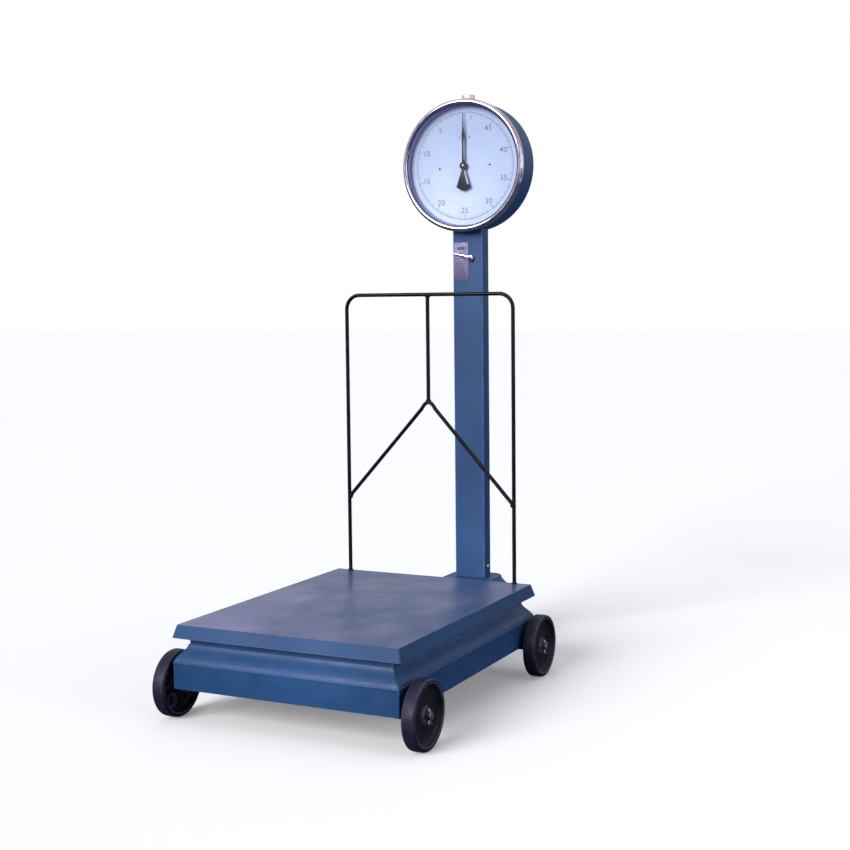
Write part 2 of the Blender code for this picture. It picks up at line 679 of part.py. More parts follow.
def build_dial_case():
    """Painted drum with an inward rear lip, open for the column and the zero screw."""
    profile = [(CASE_RADIUS, -0.0095), (CASE_RADIUS, -CASE_DEPTH + 0.002),
               (CASE_RADIUS - 0.0015, -CASE_DEPTH), (0.1300, -CASE_DEPTH),
               (0.1300, -0.0752), (0.1378, -0.0752), (0.1378, -0.0095)]
    case = turned("dial_case", profile, True, HEAD_STEPS, BLUE_PAINT, DIAL_CENTRE, FRONTWARD)
    opening = box("column_opening", (COLUMN_WIDTH + 2 * GAP, COLUMN_DEPTH + 2 * GAP, 0.06),
                  (0, COLUMN_Y, DIAL_Z - CASE_RADIUS), collection=CUTTERS)
    stem = bar("zero_stem_hole", 0.0036, 0.02, (0, DRAFT_Y, DIAL_Z + CASE_RADIUS), "Z",
               sides=12, collection=CUTTERS)
    cut(case, opening, stem)


def build_bezel_and_glass():
    """Chromed bezel ring, the glass behind its lip and the dial plate."""
    ring = [(0.1325, -0.0018), (0.1345, -0.0004), (0.1370, 0.0), (0.1405, -0.0010),
            (0.1426, -0.0032), (BEZEL_RADIUS, -0.0065), (BEZEL_RADIUS, -0.0130),
            (0.1408, -0.0130), (0.1408, -0.0090), (0.1373, -0.0090), (0.1373, -0.0045),
            (0.1325, -0.0045)]
    turned("dial_bezel", ring, True, HEAD_STEPS, CHROME, DIAL_CENTRE, FRONTWARD)
    pane = [(0.0, -0.0048), (0.1369, -0.0048), (0.1369, -0.0078), (0.0, -0.0078)]
    turned("dial_glass", pane, False, HEAD_STEPS, GLASS, DIAL_CENTRE, FRONTWARD)
    plate = [(0.1374, -0.0200), (0.1374, -0.0212), (0.0042, -0.0212), (0.0042, -0.0200)]
    turned("dial_plate", plate, True, HEAD_STEPS, DIAL_ENAMEL, DIAL_CENTRE, FRONTWARD)


def build_rear_cover():
    """Pressed rear cover inside the case's rear lip."""
    cover = [(0.0, -0.0765), (0.1165, -0.0765), (0.1185, -0.0752), (0.1297, -0.0752),
             (0.1297, -CASE_DEPTH), (0.1195, -CASE_DEPTH), (0.1175, -0.0790),
             (0.0, -0.0790)]
    turned("rear_cover", cover, False, HEAD_STEPS, BLUE_PAINT, DIAL_CENTRE, FRONTWARD)


def build_mechanism_frame():
    """Bracket on top of the column: foot, upright plate and a shelf for the screw."""
    foot_z = COLUMN_TOP + GAP + 0.0015
    back_y = DIAL_Y + BACK_PLATE_DEPTH
    frame = box("mechanism_frame", (0.110, 0.003, 0.226), (0, back_y, foot_z + 0.1115),
                STEEL)
    foot = box("frame_foot", (0.066, 0.034, 0.003), (0, back_y - 0.0155, foot_z),
               collection=CUTTERS)
    shelf = box("frame_shelf", (0.050, 0.036, 0.003), (0, back_y - 0.0165, 1.1600),
                collection=CUTTERS)
    join(frame, foot, shelf)
    cut(frame,
        bar("rod_clearance", 0.006, 0.02, (0, DRAFT_Y, foot_z), "Z", sides=16,
            collection=CUTTERS),
        bar("shelf_screw_hole", 0.0036, 0.02, (0, DRAFT_Y, 1.1600), "Z", sides=12,
            collection=CUTTERS),
        bar("spindle_bearing", 0.0023, 0.02, (0, back_y, DIAL_Z), "Y", sides=12,
            collection=CUTTERS))


def build_zero_adjuster():
    """Brass knob with its screw, and the hanger bar that it raises and lowers."""
    z = DIAL_Z + CASE_RADIUS
    profile = [(0.0, 0.0144), (0.0125, 0.0144), (0.0140, 0.0129), (0.0140, 0.0042),
               (0.0130, 0.0032), (0.0070, 0.0032), (0.0070, 0.0010), (0.0030, 0.0010),
               (0.0030, -0.0680), (0.0, -0.0680)]
    turned("zero_knob", profile, False, 24, BRASS, (0, DRAFT_Y, z), (0, 0, 0))
    hanger = box("spring_hanger", (0.112, 0.010, 0.010), (0, DRAFT_Y, HANGER_Z), STEEL)
    cut(hanger, bar("hanger_screw_hole", 0.0033, 0.03, (0, DRAFT_Y, HANGER_Z), "Z",
                    sides=12, collection=CUTTERS))


def build_springs():
    """Two coil springs between the hanger and the crosshead."""
    low = CROSSHEAD_Z + 0.005 + 0.0016
    high = HANGER_Z - 0.005 - 0.0016
    turns = 8
    per_turn = 7
    count = turns * per_turn
    for side, sign in (("left", -1), ("right", 1)):
        points = []
        for i in range(count + 1):
            angle = 2 * math.pi * i / per_turn
            height = low + (high - low) * i / count
            points.append((sign * SPRING_X + 0.009 * math.cos(angle),
                           DRAFT_Y + 0.009 * math.sin(angle), height))
        wire("spring_" + side, points, 0.0012, STEEL, resolution=1)


def rack_outline():
    """Side view of the rack, its teeth on the pinion's side."""
    pitch = 2 * math.pi * PINION_RADIUS / TOOTH_COUNT
    root = -PINION_RADIUS - 0.0009
    tip = -PINION_RADIUS + 0.0003
    teeth = 48
    bottom = DIAL_Z - CROSSHEAD_Z - 0.005 - GAP
    first = -bottom + 0.008
    points = [(root - 0.0065, -bottom), (root, -bottom)]
    start = math.ceil(first / pitch) - 0.5
    for i in range(teeth):
        middle = (start + i) * pitch
        if middle > 0.038:
            break
        points += [(root, middle - 0.00042), (tip, middle - 0.00020),
                   (tip, middle + 0.00020), (root, middle + 0.00042)]
    points += [(root, 0.0400), (root - 0.0065, 0.0400)]
    return points


def pinion_outline():
    """Toothed outline of the pinion, one tooth pointing at the rack."""
    points = []
    for i in range(TOOTH_COUNT):
        centre = math.pi + 2 * math.pi * i / TOOTH_COUNT
        for radius, offset in ((0.0044, -0.115), (0.0056, -0.040), (0.0056, 0.040),
                               (0.0044, 0.115)):
            angle = centre + offset
            points.append((radius * math.cos(angle), radius * math.sin(angle)))
    return points


def build_draft_train():
    """Pull rod with its stirrup, crosshead, nut and rack."""
    nose_z = MAIN_FULCRUM_Z + DRAFT_ARM * math.sin(MAIN_REST_TILT)
    low = nose_z - 0.0100 - 2 * GAP
    high = nose_z + 0.0110
    stirrup_outer = rounded_rectangle(0.0300, high - low + 0.010, 0.004)
    stirrup_inner = rounded_rectangle(0.0200, high - low, 0.001, 1)
    stirrup = prism("stirrup", [stirrup_outer, stirrup_inner], 0.007,
                    (0, DRAFT_Y, (low + high) / 2), FACING, collection=CUTTERS)
    top = CROSSHEAD_Z + 0.016
    bottom = high + 0.002
    rod = bar("pull_rod", 0.003, top - bottom, (0, DRAFT_Y, (top + bottom) / 2), "Z",
              STEEL, 12)
    join(rod, stirrup)
    crosshead = box("crosshead", (0.112, 0.010, 0.010), (0, DRAFT_Y, CROSSHEAD_Z), STEEL)
    cut(crosshead, bar("crosshead_hole", 0.003 + GAP, 0.03, (0, DRAFT_Y, CROSSHEAD_Z),
                       "Z", sides=12, collection=CUTTERS))
    prism("draft_nut", [circle(0.0043, 6), circle(0.003 + GAP, 12)], 0.005,
          (0, DRAFT_Y, CROSSHEAD_Z + 0.0075 + GAP), FLAT, STEEL)
    prism("rack", [rack_outline()], 0.006, (0, DRAFT_Y, DIAL_Z), FACING, BRASS)


def build_pointer_train():
    """Spindle with its bright cap, pinion and pointer."""
    spindle = [(0.0, -0.0100), (0.0032, -0.0100), (0.0040, -0.0117), (0.0020, -0.0117),
               (0.0020, -0.0730), (0.0, -0.0730)]
    turned("pointer_spindle", spindle, False, 16, STEEL, DIAL_CENTRE, FRONTWARD)
    prism("pinion", [pinion_outline(), circle(0.002 + GAP, 12)], 0.008,
          (0, DRAFT_Y, DIAL_Z), FACING, BRASS)
    right = [(0.0007, 0.1130), (0.0018, 0.0900), (0.0036, 0.0640), (0.0030, 0.0350),
             (0.0036, 0.0100)]
    right += arc((0, 0), 0.0087, 50, -50, 5)
    right += [(0.0036, -0.0100), (0.0050, -0.0180), (0.0165, -0.0430), (0.0150, -0.0470),
              (0.0060, -0.0520)]
    outline = right + [(0.0, -0.0550)] + [(-a, b) for a, b in reversed(right)]
    prism("pointer", [outline, circle(0.002 + GAP, 12)], 0.0018,
          (0, DIAL_Y + 0.0129, DIAL_Z), FACING, BLACK_PAINT)


def build_scale():
    """Build every piece of the scale."""
    build_base_frame()
    build_axles()
    build_wheels()
    build_platform_plate()
    build_platform_feet()
    build_guard()
    build_main_lever()
    build_lever_link()
    build_short_lever()
    build_fulcrum_stands()
    build_column()
    build_lock_and_label()
    build_dial_case()
    build_bezel_and_glass()
    build_rear_cover()
    build_mechanism_frame()
    build_zero_adjuster()
    build_springs()
    build_draft_train()
    build_pointer_train()


build_scale()
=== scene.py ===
"""Looks of the mechanical dial platform scale: fine pieces, finishes, light and camera."""
import json
from math import atan2, cos, hypot, pi, radians, sin, tan

import bmesh
import bpy
from mathutils import Matrix, Vector


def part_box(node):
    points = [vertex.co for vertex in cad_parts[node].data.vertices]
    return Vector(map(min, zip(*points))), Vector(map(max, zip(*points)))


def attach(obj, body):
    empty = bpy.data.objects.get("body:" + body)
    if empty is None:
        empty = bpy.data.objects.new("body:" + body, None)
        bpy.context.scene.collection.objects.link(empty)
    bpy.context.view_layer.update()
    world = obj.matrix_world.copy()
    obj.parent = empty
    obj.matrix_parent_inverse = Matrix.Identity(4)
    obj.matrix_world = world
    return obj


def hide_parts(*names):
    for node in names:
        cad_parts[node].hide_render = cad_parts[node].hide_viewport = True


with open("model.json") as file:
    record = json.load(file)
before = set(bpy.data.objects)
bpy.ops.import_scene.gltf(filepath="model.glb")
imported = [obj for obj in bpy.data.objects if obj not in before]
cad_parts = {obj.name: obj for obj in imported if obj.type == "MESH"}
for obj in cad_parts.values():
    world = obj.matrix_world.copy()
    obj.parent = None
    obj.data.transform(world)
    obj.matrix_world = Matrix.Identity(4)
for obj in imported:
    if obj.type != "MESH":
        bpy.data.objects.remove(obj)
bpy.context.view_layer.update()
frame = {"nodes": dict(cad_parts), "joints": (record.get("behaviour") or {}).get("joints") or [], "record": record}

NODES = frame["nodes"]

# Camera: place in metres; turn to the left, tilt down and roll in degrees; lens in mm
CAMERA_PLACE = (1.3127, -2.523, 0.7661)
CAMERA_TURN = 26.2
CAMERA_TILT = 5.0
CAMERA_ROLL = -0.6
CAMERA_LENS = 60.47

# Base casting, in metres
APRON_BOTTOM = 0.0643
RIDGE_Z = 0.114
SHELL_TOP = 0.1444
NECK_INSET = 0.021
BASE_WALL = 0.005
BASE_LENGTH = 0.615
BASE_WIDTH = 0.464
TONGUE_WIDTH = 0.156
TONGUE_CORNER = 0.05
RIB_Z = 0.07575
RIB_HEIGHT = 0.0065
LUG_X = 0.2165                   # middle of an axle lug
AXLE_BORE = 0.0083               # radius, also in the wheels and washers
NECK_TOP = 0.1555

# Wheels
WHEEL_HALF_WIDTH = 0.0125
POCKETS = 5
POCKET_CIRCLE = 0.035            # radius on which the pockets of a web stand

# Platform, guard and column
SKIRT_FLARE = 0.007
PLATE = 0.004
GUARD_RADIUS = 0.004
GUARD_CORNER = 0.03
COLUMN_CORNER = 0.006
COLUMN_WALL = 0.0025

# Dial head: radii of the dial's printing, pointer and rear cover
SCALE_RADIUS = 0.1155
NUMERAL_RADIUS = 0.097
NUMERAL_HEIGHT = 0.0125
UNITS = 50
PRINT = 0.00012                  # thickness of printed marks
POINTER_THICKNESS = 0.0016
COVER_SCREWS = 6
COVER_SCREW_CIRCLE = 0.1245

# Directions for outlines and turned pieces: the local z axis points along the name
FLAT = Matrix.Identity(3)
TO_FRONT = Matrix(((1, 0, 0), (0, 0, -1), (0, 1, 0)))
TO_RIGHT = Matrix(((0, 0, 1), (1, 0, 0), (0, 1, 0)))
SIDES = (("left", -1), ("right", 1))     # each side's name and sign along X


# ---------- the frame

def low(node):
    """Lowest corner of a CAD node."""
    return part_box(node)[0]


def high(node):
    """Highest corner of a CAD node."""
    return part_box(node)[1]


def middle(node):
    """Middle of a CAD node's box."""
    return (low(node) + high(node)) / 2


def extent(node):
    """Size of a CAD node's box."""
    return high(node) - low(node)


def outward(sign):
    """Direction along X, to the right or to the left."""
    return TO_RIGHT if sign > 0 else Matrix.Rotation(pi, 3, "Z") @ TO_RIGHT


def place(piece, body, slot, *nodes):
    """Say which body carries a piece and the nodes it stands for; the material slot is not used."""
    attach(piece, body)
    if nodes:
        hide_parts(*nodes)
    return piece


# ---------- materials

class Finish:
    """A Principled material whose layers are worked out from noise and position."""

    def __init__(self, name, **uniform):
        self.material = bpy.data.materials.new(name)
        self.material.use_nodes = True
        self.tree = self.material.node_tree
        self.shader = self.tree.nodes["Principled BSDF"]
        self.place = self.add("ShaderNodeTexCoord").outputs["Object"]
        for socket, value in uniform.items():
            self.shader.inputs[socket.replace("_", " ")].default_value = value

    def add(self, kind, inputs=None, **settings):
        """A node with its settings, and its inputs as values or links."""
        node = self.tree.nodes.new(kind)
        for key, value in settings.items():
            setattr(node, key, value)
        for key, value in (inputs or {}).items():
            self.feed(node.inputs[key], value)
        return node

    def feed(self, socket, value):
        """Link an output to a socket, or set the socket's own value."""
        if isinstance(value, bpy.types.NodeSocket):
            self.tree.links.new(value, socket)
        elif isinstance(value, tuple) and len(value) == 3 and socket.type == "RGBA":
            socket.default_value = (*value, 1.0)
        else:
            socket.default_value = value

    def noise(self, scale, detail=2.0, stretch=None, rough=0.5):
        """Fractal noise, scale in features for each metre."""
        vector = self.place
        if stretch:
            vector = self.add("ShaderNodeMapping", {"Vector": vector, "Scale": stretch}).outputs[0]
        return self.add("ShaderNodeTexNoise", {"Vector": vector, "Scale": scale, "Detail": detail,
            "Roughness": rough}).outputs["Fac"]

    def spread(self, value, start, end, first=0.0, last=1.0):
        """Map a value between two limits to another range, clamped."""
        return self.add("ShaderNodeMapRange", {"Value": value, "From Min": start, "From Max": end,
            "To Min": first, "To Max": last}).outputs["Result"]

    def patches(self, scale, detail, start, end, first=0.0, last=1.0, **kind):
        """Noise spread between two limits."""
        return self.spread(self.noise(scale, detail, **kind), start, end, first, last)

    def maths(self, operation, first, second=0.0):
        """One arithmetic step."""
        return self.add("ShaderNodeMath", {0: first, 1: second}, operation=operation).outputs[0]

    def along(self, axis):
        """Position along X, Y or Z in metres."""
        return self.add("ShaderNodeSeparateXYZ", {0: self.place}).outputs[axis]

    def blend(self, mask, first, second):
        """Mix two colours by a mask."""
        return self.add("ShaderNodeMix", {0: mask, 6: first, 7: second}, data_type="RGBA").outputs[2]

    def facing(self, axis):
        """X, Y or Z part of the surface's direction."""
        normal = self.add("ShaderNodeNewGeometry").outputs["Normal"]
        return self.add("ShaderNodeSeparateXYZ", {0: normal}).outputs[axis]

    def edges(self, radius, start=0.02, end=0.16):
        """Mask that is 1 on edges and 0 on open faces."""
        turned = self.add("ShaderNodeBevel", {"Radius": radius}, samples=4).outputs[0]
        flat = self.add("ShaderNodeNewGeometry").outputs["Normal"]
        dot = self.add("ShaderNodeVectorMath", {0: turned, 1: flat},
            operation="DOT_PRODUCT").outputs["Value"]
        return self.spread(self.maths("SUBTRACT", 1.0, dot), start, end)

    def crevices(self, distance):
        """Mask that is 1 deep in corners and 0 in the open."""
        node = self.add("ShaderNodeAmbientOcclusion", {"Distance": distance}, samples=6)
        return self.spread(node.outputs["AO"], 0.75, 0.25)

    def colour(self, value):
        """Set or link the base colour."""
        self.feed(self.shader.inputs["Base Color"], value)

    def roughness(self, value):
        """Link the roughness."""
        self.feed(self.shader.inputs["Roughness"], value)

    def show(self, share, first, second):
        """Show a mix of two shaders."""
        mix = self.add("ShaderNodeMixShader", {0: share, 1: first, 2: second})
        self.feed(self.tree.nodes["Material Output"].inputs["Surface"], mix.outputs[0])

    def bump(self, *layers):
        """Stack bump layers of (height, depth in metres, strength)."""
        normal = None
        for height, depth, strength in layers:
            inputs = {"Height": height, "Distance": depth, "Strength": strength}
            if normal:
                inputs["Normal"] = normal
            normal = self.add("ShaderNodeBump", inputs).outputs["Normal"]
        self.feed(self.shader.inputs["Normal"], normal)


def blue_enamel():
    """Brushed-on enamel: patchy colour, rubbed edges, painted shade in corners, painted highlights on rounded
    upright corners, grime specks, orange peel.
    """
    paint = Finish("blue_enamel", Specular_IOR_Level=0.36)
    tone = paint.blend(paint.patches(7.0, 3.0, 0.35, 0.65), BLUE_DEEP, BLUE_BRIGHT)
    pale_edges = paint.maths("MULTIPLY", paint.edges(0.0016), paint.patches(60.0, 4.0, 0.35, 0.6))
    tone = paint.blend(pale_edges, tone, EDGE_PALE)
    # Painted highlight: rounded upright corners, whose surface faces halfway between X and Y, are made pale blue,
    # broken by noise.
    slanted = paint.maths("MULTIPLY", paint.facing("X"), paint.facing("Y"))
    upright = paint.spread(paint.maths("ABSOLUTE", slanted), 0.2, 0.46)
    painted_sheen = paint.maths("MULTIPLY", upright, paint.patches(24.0, 3.0, 0.3, 0.6, 0.35, 0.8))
    tone = paint.blend(painted_sheen, tone, CORNER_HIGHLIGHT)
    # Painted shade: darker in corners and crevices, found by ambient occlusion and broken by noise.
    crevice_shade = paint.maths("MULTIPLY", paint.crevices(0.012),
        paint.patches(35.0, 3.0, 0.25, 0.75, 0.35, 0.85))
    tone = paint.blend(crevice_shade, tone, GRIME_AND_SHADE)
    specks = paint.patches(420.0, 2.0, 0.7, 0.76)
    paint.colour(paint.blend(specks, tone, GRIME_AND_SHADE))
    paint.roughness(paint.patches(28.0, 4.0, 0.3, 0.7, 0.42, 0.58))
    paint.bump((paint.noise(4.5, 2.0), 0.0016, 0.35), (paint.noise(520.0, 2.0), 0.0001, 0.45),
        (paint.noise(130.0, 3.0), 0.00018, 0.35))
    return paint.material


def worn_platform_paint():
    """Platform enamel with smears, scuffs and fine scratches, and a painted sheen that makes the near left of the
    top lighter and more violet.
    """
    paint = Finish("platform_enamel", Specular_IOR_Level=0.42)
    front = low("platform_plate").y
    depth = high("platform_plate").y - front
    # Painted sheen: the top is made lighter and more violet towards the front and the left, by position, with
    # random clouding; it shows on the top only.
    nearness = paint.spread(paint.along("Y"), front, front + depth * 0.85, 1.0, 0.0)
    leftness = paint.spread(paint.along("X"), -0.16, 0.06, 1.0, 0.0)
    painted_sheen = paint.maths("MULTIPLY", nearness, leftness)
    cloud = paint.noise(5.5, 3.0, stretch=(1.0, 0.55, 1.0))
    painted_sheen = paint.maths("ADD", paint.maths("MULTIPLY", painted_sheen, 0.75),
        paint.spread(cloud, 0.35, 0.75, -0.28, 0.42))
    top = paint.blend(paint.spread(painted_sheen, 0.0, 1.0), PLATFORM_BLUE, PLATFORM_SHEEN_VIOLET)
    smear = paint.patches(16.0, 4.0, 0.52, 0.7, stretch=(1.0, 0.28, 1.0))
    smear = paint.maths("MULTIPLY", smear, paint.spread(painted_sheen, 0.15, 0.9, 0.15, 0.75))
    top = paint.blend(smear, top, PLATFORM_PALE)
    stain = paint.patches(11.0, 5.0, 0.56, 0.72, 0.0, 0.42, rough=0.62)
    top = paint.blend(stain, top, PLATFORM_STAIN)
    across = paint.noise(60.0, 3.0, stretch=(0.1, 6.0, 1.0))
    lengthwise = paint.noise(60.0, 3.0, stretch=(6.0, 0.12, 1.0))
    scratch = paint.maths("MAXIMUM", paint.spread(across, 0.7, 0.74),
        paint.spread(lengthwise, 0.69, 0.73))
    top = paint.blend(paint.maths("MULTIPLY", scratch, 0.3), top, PLATFORM_PALE)
    upward = paint.spread(paint.facing("Z"), 0.75, 0.97)
    side = paint.blend(paint.patches(7.0, 3.0, 0.35, 0.65), BLUE_DEEP, BLUE_BRIGHT)
    tone = paint.blend(upward, side, top)
    pale_edges = paint.maths("MULTIPLY", paint.edges(0.0022), paint.patches(45.0, 4.0, 0.3, 0.58))
    tone = paint.blend(pale_edges, tone, EDGE_PALE)
    paint.colour(paint.blend(paint.patches(380.0, 2.0, 0.69, 0.75), tone, GRIME_AND_SHADE))
    gloss = paint.patches(14.0, 4.0, 0.3, 0.7, 0.27, 0.4)
    paint.roughness(paint.maths("ADD", gloss, paint.spread(upward, 0.0, 1.0, 0.34, 0.0)))
    paint.bump((paint.noise(3.2, 1.0), 0.0025, 0.3), (paint.noise(480.0, 2.0), 0.0001, 0.4),
        (scratch, 0.00008, 0.6))
    return paint.material


def rough_iron(name, deep, bright, rub, size, shine):
    """Cast iron: grainy skin, uneven tone and rubbed edges."""
    iron = Finish(name, Metallic=shine, Specular_IOR_Level=0.4)
    tone = iron.blend(iron.patches(22.0, 4.0, 0.35, 0.65), deep, bright)
    pale_edges = iron.maths("MULTIPLY", iron.edges(0.0014), iron.patches(90.0, 4.0, 0.34, 0.56))
    iron.colour(iron.blend(pale_edges, tone, rub))
    iron.roughness(iron.patches(75.0, 3.0, 0.3, 0.7, 0.42, 0.66))
    iron.bump((iron.noise(size, 3.0), 0.00035, 0.55), (iron.noise(size * 4.0, 2.0), 0.0001, 0.5))
    return iron.material


def wheel_iron():
    """Black painted wheels, the paint rolled off the tread down to grey iron."""
    iron = Finish("wheel_iron", Specular_IOR_Level=0.24)
    tone = iron.blend(iron.patches(30.0, 4.0, 0.35, 0.65), (0.0022, 0.0022, 0.0045),
        (0.006, 0.0055, 0.011))
    sideways = iron.maths("ABSOLUTE", iron.facing("X"))
    far = iron.spread(iron.add("ShaderNodeAttribute",
        attribute_name="distance_from_axle").outputs["Fac"], 0.0585, 0.0615)
    tread = iron.maths("MULTIPLY", far, iron.spread(sideways, 0.75, 0.35))
    dust = iron.patches(48.0, 5.0, 0.3, 0.68, 0.25, 1.0, rough=0.65)
    tone = iron.blend(iron.maths("MULTIPLY", tread, dust), tone, (0.012, 0.013, 0.038))
    # Painted highlight: the wheel's edges, the rim shoulders among them, are made pale violet, broken by noise.
    pale_edges = iron.maths("MULTIPLY", iron.edges(0.004, 0.01, 0.07), iron.patches(80.0, 4.0, 0.25, 0.5))
    iron.colour(iron.blend(pale_edges, tone, (0.19, 0.17, 0.27)))
    iron.roughness(iron.patches(40.0, 3.0, 0.3, 0.7, 0.38, 0.62))
    iron.bump((iron.noise(190.0, 3.0), 0.0003, 0.5), (iron.noise(900.0, 2.0), 0.00008, 0.5))
    return iron.material


def gloss_black():
    """Black enamel on drawn rod, with faint runs and chips."""
    paint = Finish("gloss_black", Specular_IOR_Level=0.16)
    tone = paint.blend(paint.patches(40.0, 3.0, 0.4, 0.7), (0.0015, 0.0015, 0.003),
        (0.0045, 0.0042, 0.006))
    chips = paint.patches(150.0, 4.0, 0.74, 0.78, rough=0.6)
    paint.colour(paint.blend(chips, tone, (0.06, 0.052, 0.055)))
    paint.roughness(paint.patches(60.0, 3.0, 0.3, 0.7, 0.28, 0.42))
    paint.bump((paint.noise(300.0, 2.0), 0.00012, 0.4),)
    return paint.material


def metal(name, dark, light, gloss, grain, dull=0.12, pits=0.35):
    """Bare or plated metal: slight tone changes, fine grain and handling marks."""
    alloy = Finish(name, Metallic=1.0)
    alloy.colour(alloy.blend(alloy.patches(55.0, 4.0, 0.3, 0.7), dark, light))
    alloy.roughness(alloy.patches(90.0, 4.0, 0.35, 0.7, gloss, gloss + dull))
    alloy.bump((alloy.noise(grain, 2.0), 0.00004, pits),)
    return alloy.material


def dial_enamel():
    """Pale blue-white stove enamel with the faintest clouding."""
    face = Finish("dial_enamel", Specular_IOR_Level=0.4)
    face.colour(face.blend(face.patches(18.0, 3.0, 0.3, 0.7), DIAL_PALE, DIAL_BRIGHT))
    face.roughness(face.patches(60.0, 3.0, 0.3, 0.7, 0.32, 0.44))
    face.bump((face.noise(260.0, 2.0), 0.00005, 0.25),)
    return face.material


def printing(name, dark, light):
    """Printing ink, a little uneven in strength."""
    ink = Finish(name, Specular_IOR_Level=0.3)
    ink.colour(ink.blend(ink.patches(220.0, 3.0, 0.3, 0.7), dark, light))
    ink.roughness(ink.patches(400.0, 2.0, 0.3, 0.7, 0.45, 0.62))
    ink.bump((ink.noise(900.0, 2.0), 0.00002, 0.3),)
    return ink.material


def clear_glass():
    """Flat window glass: reflects by angle and lets light and shadow through."""
    glass = Finish("clear_glass")
    glass.tree.nodes.remove(glass.shader)
    through = glass.add("ShaderNodeBsdfTransparent", {"Color": (0.975, 0.985, 0.99)})
    mirror = glass.add("ShaderNodeBsdfGlossy", {"Roughness": 0.03})
    facing = glass.add("ShaderNodeLayerWeight", {"Blend": 0.5}).outputs["Facing"]
    share = glass.spread(glass.maths("POWER", facing, 5.0), 0.0, 1.0, 0.035)
    glass.show(share, through.outputs[0], mirror.outputs[0])
    return glass.material


def label_metal():
    """Thin aluminium plate with a dull violet print ground."""
    plate = Finish("label_metal", Metallic=0.15)
    # Darker towards the bottom of the plate, lighter towards the top.
    plate_height = plate.spread(plate.along("Z"), low("label_plate").z, high("label_plate").z)
    tone = plate.blend(plate_height, (0.11, 0.09, 0.18), (0.19, 0.175, 0.38))
    blotch = plate.patches(420.0, 4.0, 0.48, 0.6, 0.0, 0.75)
    plate.colour(plate.blend(blotch, tone, (0.055, 0.042, 0.105)))
    plate.roughness(plate.patches(120.0, 3.0, 0.3, 0.7, 0.36, 0.58))
    plate.bump((plate.noise(500.0, 2.0), 0.00004, 0.4),)
    return plate.material


def floor_paint():
    """Plain pale studio floor with the slightest tooth."""
    floor = Finish("pale_floor", Specular_IOR_Level=0.15, Roughness=0.75)
    floor.colour(floor.blend(floor.noise(1.2, 2.0), (0.9, 0.905, 0.915), (0.925, 0.928, 0.935)))
    floor.bump((floor.noise(300.0, 2.0), 0.0001, 0.15),)
    floor.shader.inputs["Emission Color"].default_value = (1.0, 1.0, 1.0, 1.0)
    floor.shader.inputs["Emission Strength"].default_value = 0.17
    dim = floor.add("ShaderNodeBsdfDiffuse", {"Color": (0.1, 0.11, 0.17)})
    seen = floor.add("ShaderNodeLightPath").outputs["Is Camera Ray"]
    floor.show(seen, dim.outputs[0], floor.shader.outputs[0])
    return floor.material


BLUE_DEEP = (0.01, 0.05, 0.145)
BLUE_BRIGHT = (0.017, 0.07, 0.2)
EDGE_PALE = (0.11, 0.17, 0.34)
CORNER_HIGHLIGHT = (0.075, 0.16, 0.4)
# Dark blue for dirt specks, also used as painted shade in the crevices of the blue enamel.
GRIME_AND_SHADE = (0.014, 0.022, 0.05)
PLATFORM_BLUE = (0.024, 0.058, 0.165)
PLATFORM_SHEEN_VIOLET = (0.205, 0.198, 0.385)
PLATFORM_PALE = (0.3, 0.29, 0.48)
PLATFORM_STAIN = (0.105, 0.09, 0.19)
DIAL_PALE = (0.5, 0.59, 0.84)
DIAL_BRIGHT = (0.54, 0.63, 0.87)

BLUE_ENAMEL = blue_enamel()
PLATFORM_ENAMEL = worn_platform_paint()
CAST_IRON = rough_iron("cast_iron", (0.03, 0.029, 0.034), (0.06, 0.056, 0.058), (0.13, 0.12, 0.115),
    260.0, 0.35)
WHEEL_IRON = wheel_iron()
POCKET_GREY = rough_iron("pocket_grey", (0.105, 0.1, 0.13), (0.17, 0.16, 0.195), (0.23, 0.215, 0.25),
    240.0, 0.1)
BLACK_ENAMEL = gloss_black()
STEEL = metal("machined_steel", (0.38, 0.38, 0.4), (0.56, 0.56, 0.59), 0.26, 600.0)
SPRING_STEEL = metal("spring_steel", (0.22, 0.215, 0.225), (0.36, 0.35, 0.36), 0.32, 700.0)
HUB_STEEL = metal("hub_steel", (0.09, 0.09, 0.125), (0.23, 0.225, 0.3), 0.42, 420.0)
CHROME = metal("chrome_plate", (0.42, 0.385, 0.48), (0.6, 0.545, 0.64), 0.07, 200.0, 0.07, 0.06)
BRASS = metal("turned_brass", (0.72, 0.52, 0.38), (0.9, 0.74, 0.6), 0.24, 700.0)
DIAL_ENAMEL = dial_enamel()
POINTER_HIGHLIGHT_PALE = printing("painted_pointer_highlight", (0.42, 0.4, 0.62), (0.6, 0.58, 0.82))
BEZEL_SHADE_LILAC = printing("painted_bezel_shade", (0.3, 0.3, 0.62), (0.4, 0.4, 0.74))
BEZEL_SHADOW_NAVY = printing("painted_bezel_shadow", (0.01, 0.01, 0.045), (0.022, 0.022, 0.085))
DIAL_INK = printing("dial_ink", (0.13, 0.125, 0.2), (0.21, 0.19, 0.29))
NUMERAL_INK = printing("numeral_ink", (0.19, 0.15, 0.26), (0.29, 0.23, 0.37))
LABEL_METAL = label_metal()
LABEL_INK = printing("label_ink", (0.05, 0.04, 0.095), (0.11, 0.09, 0.17))
OXIDE = metal("black_oxide", (0.018, 0.014, 0.035), (0.045, 0.036, 0.07), 0.35, 500.0)
GLASS = clear_glass()


# ---------- mesh making

def new_object(name, data):
    """A new object in the scene."""
    obj = bpy.data.objects.new(name, data)
    bpy.context.scene.collection.objects.link(obj)
    return obj


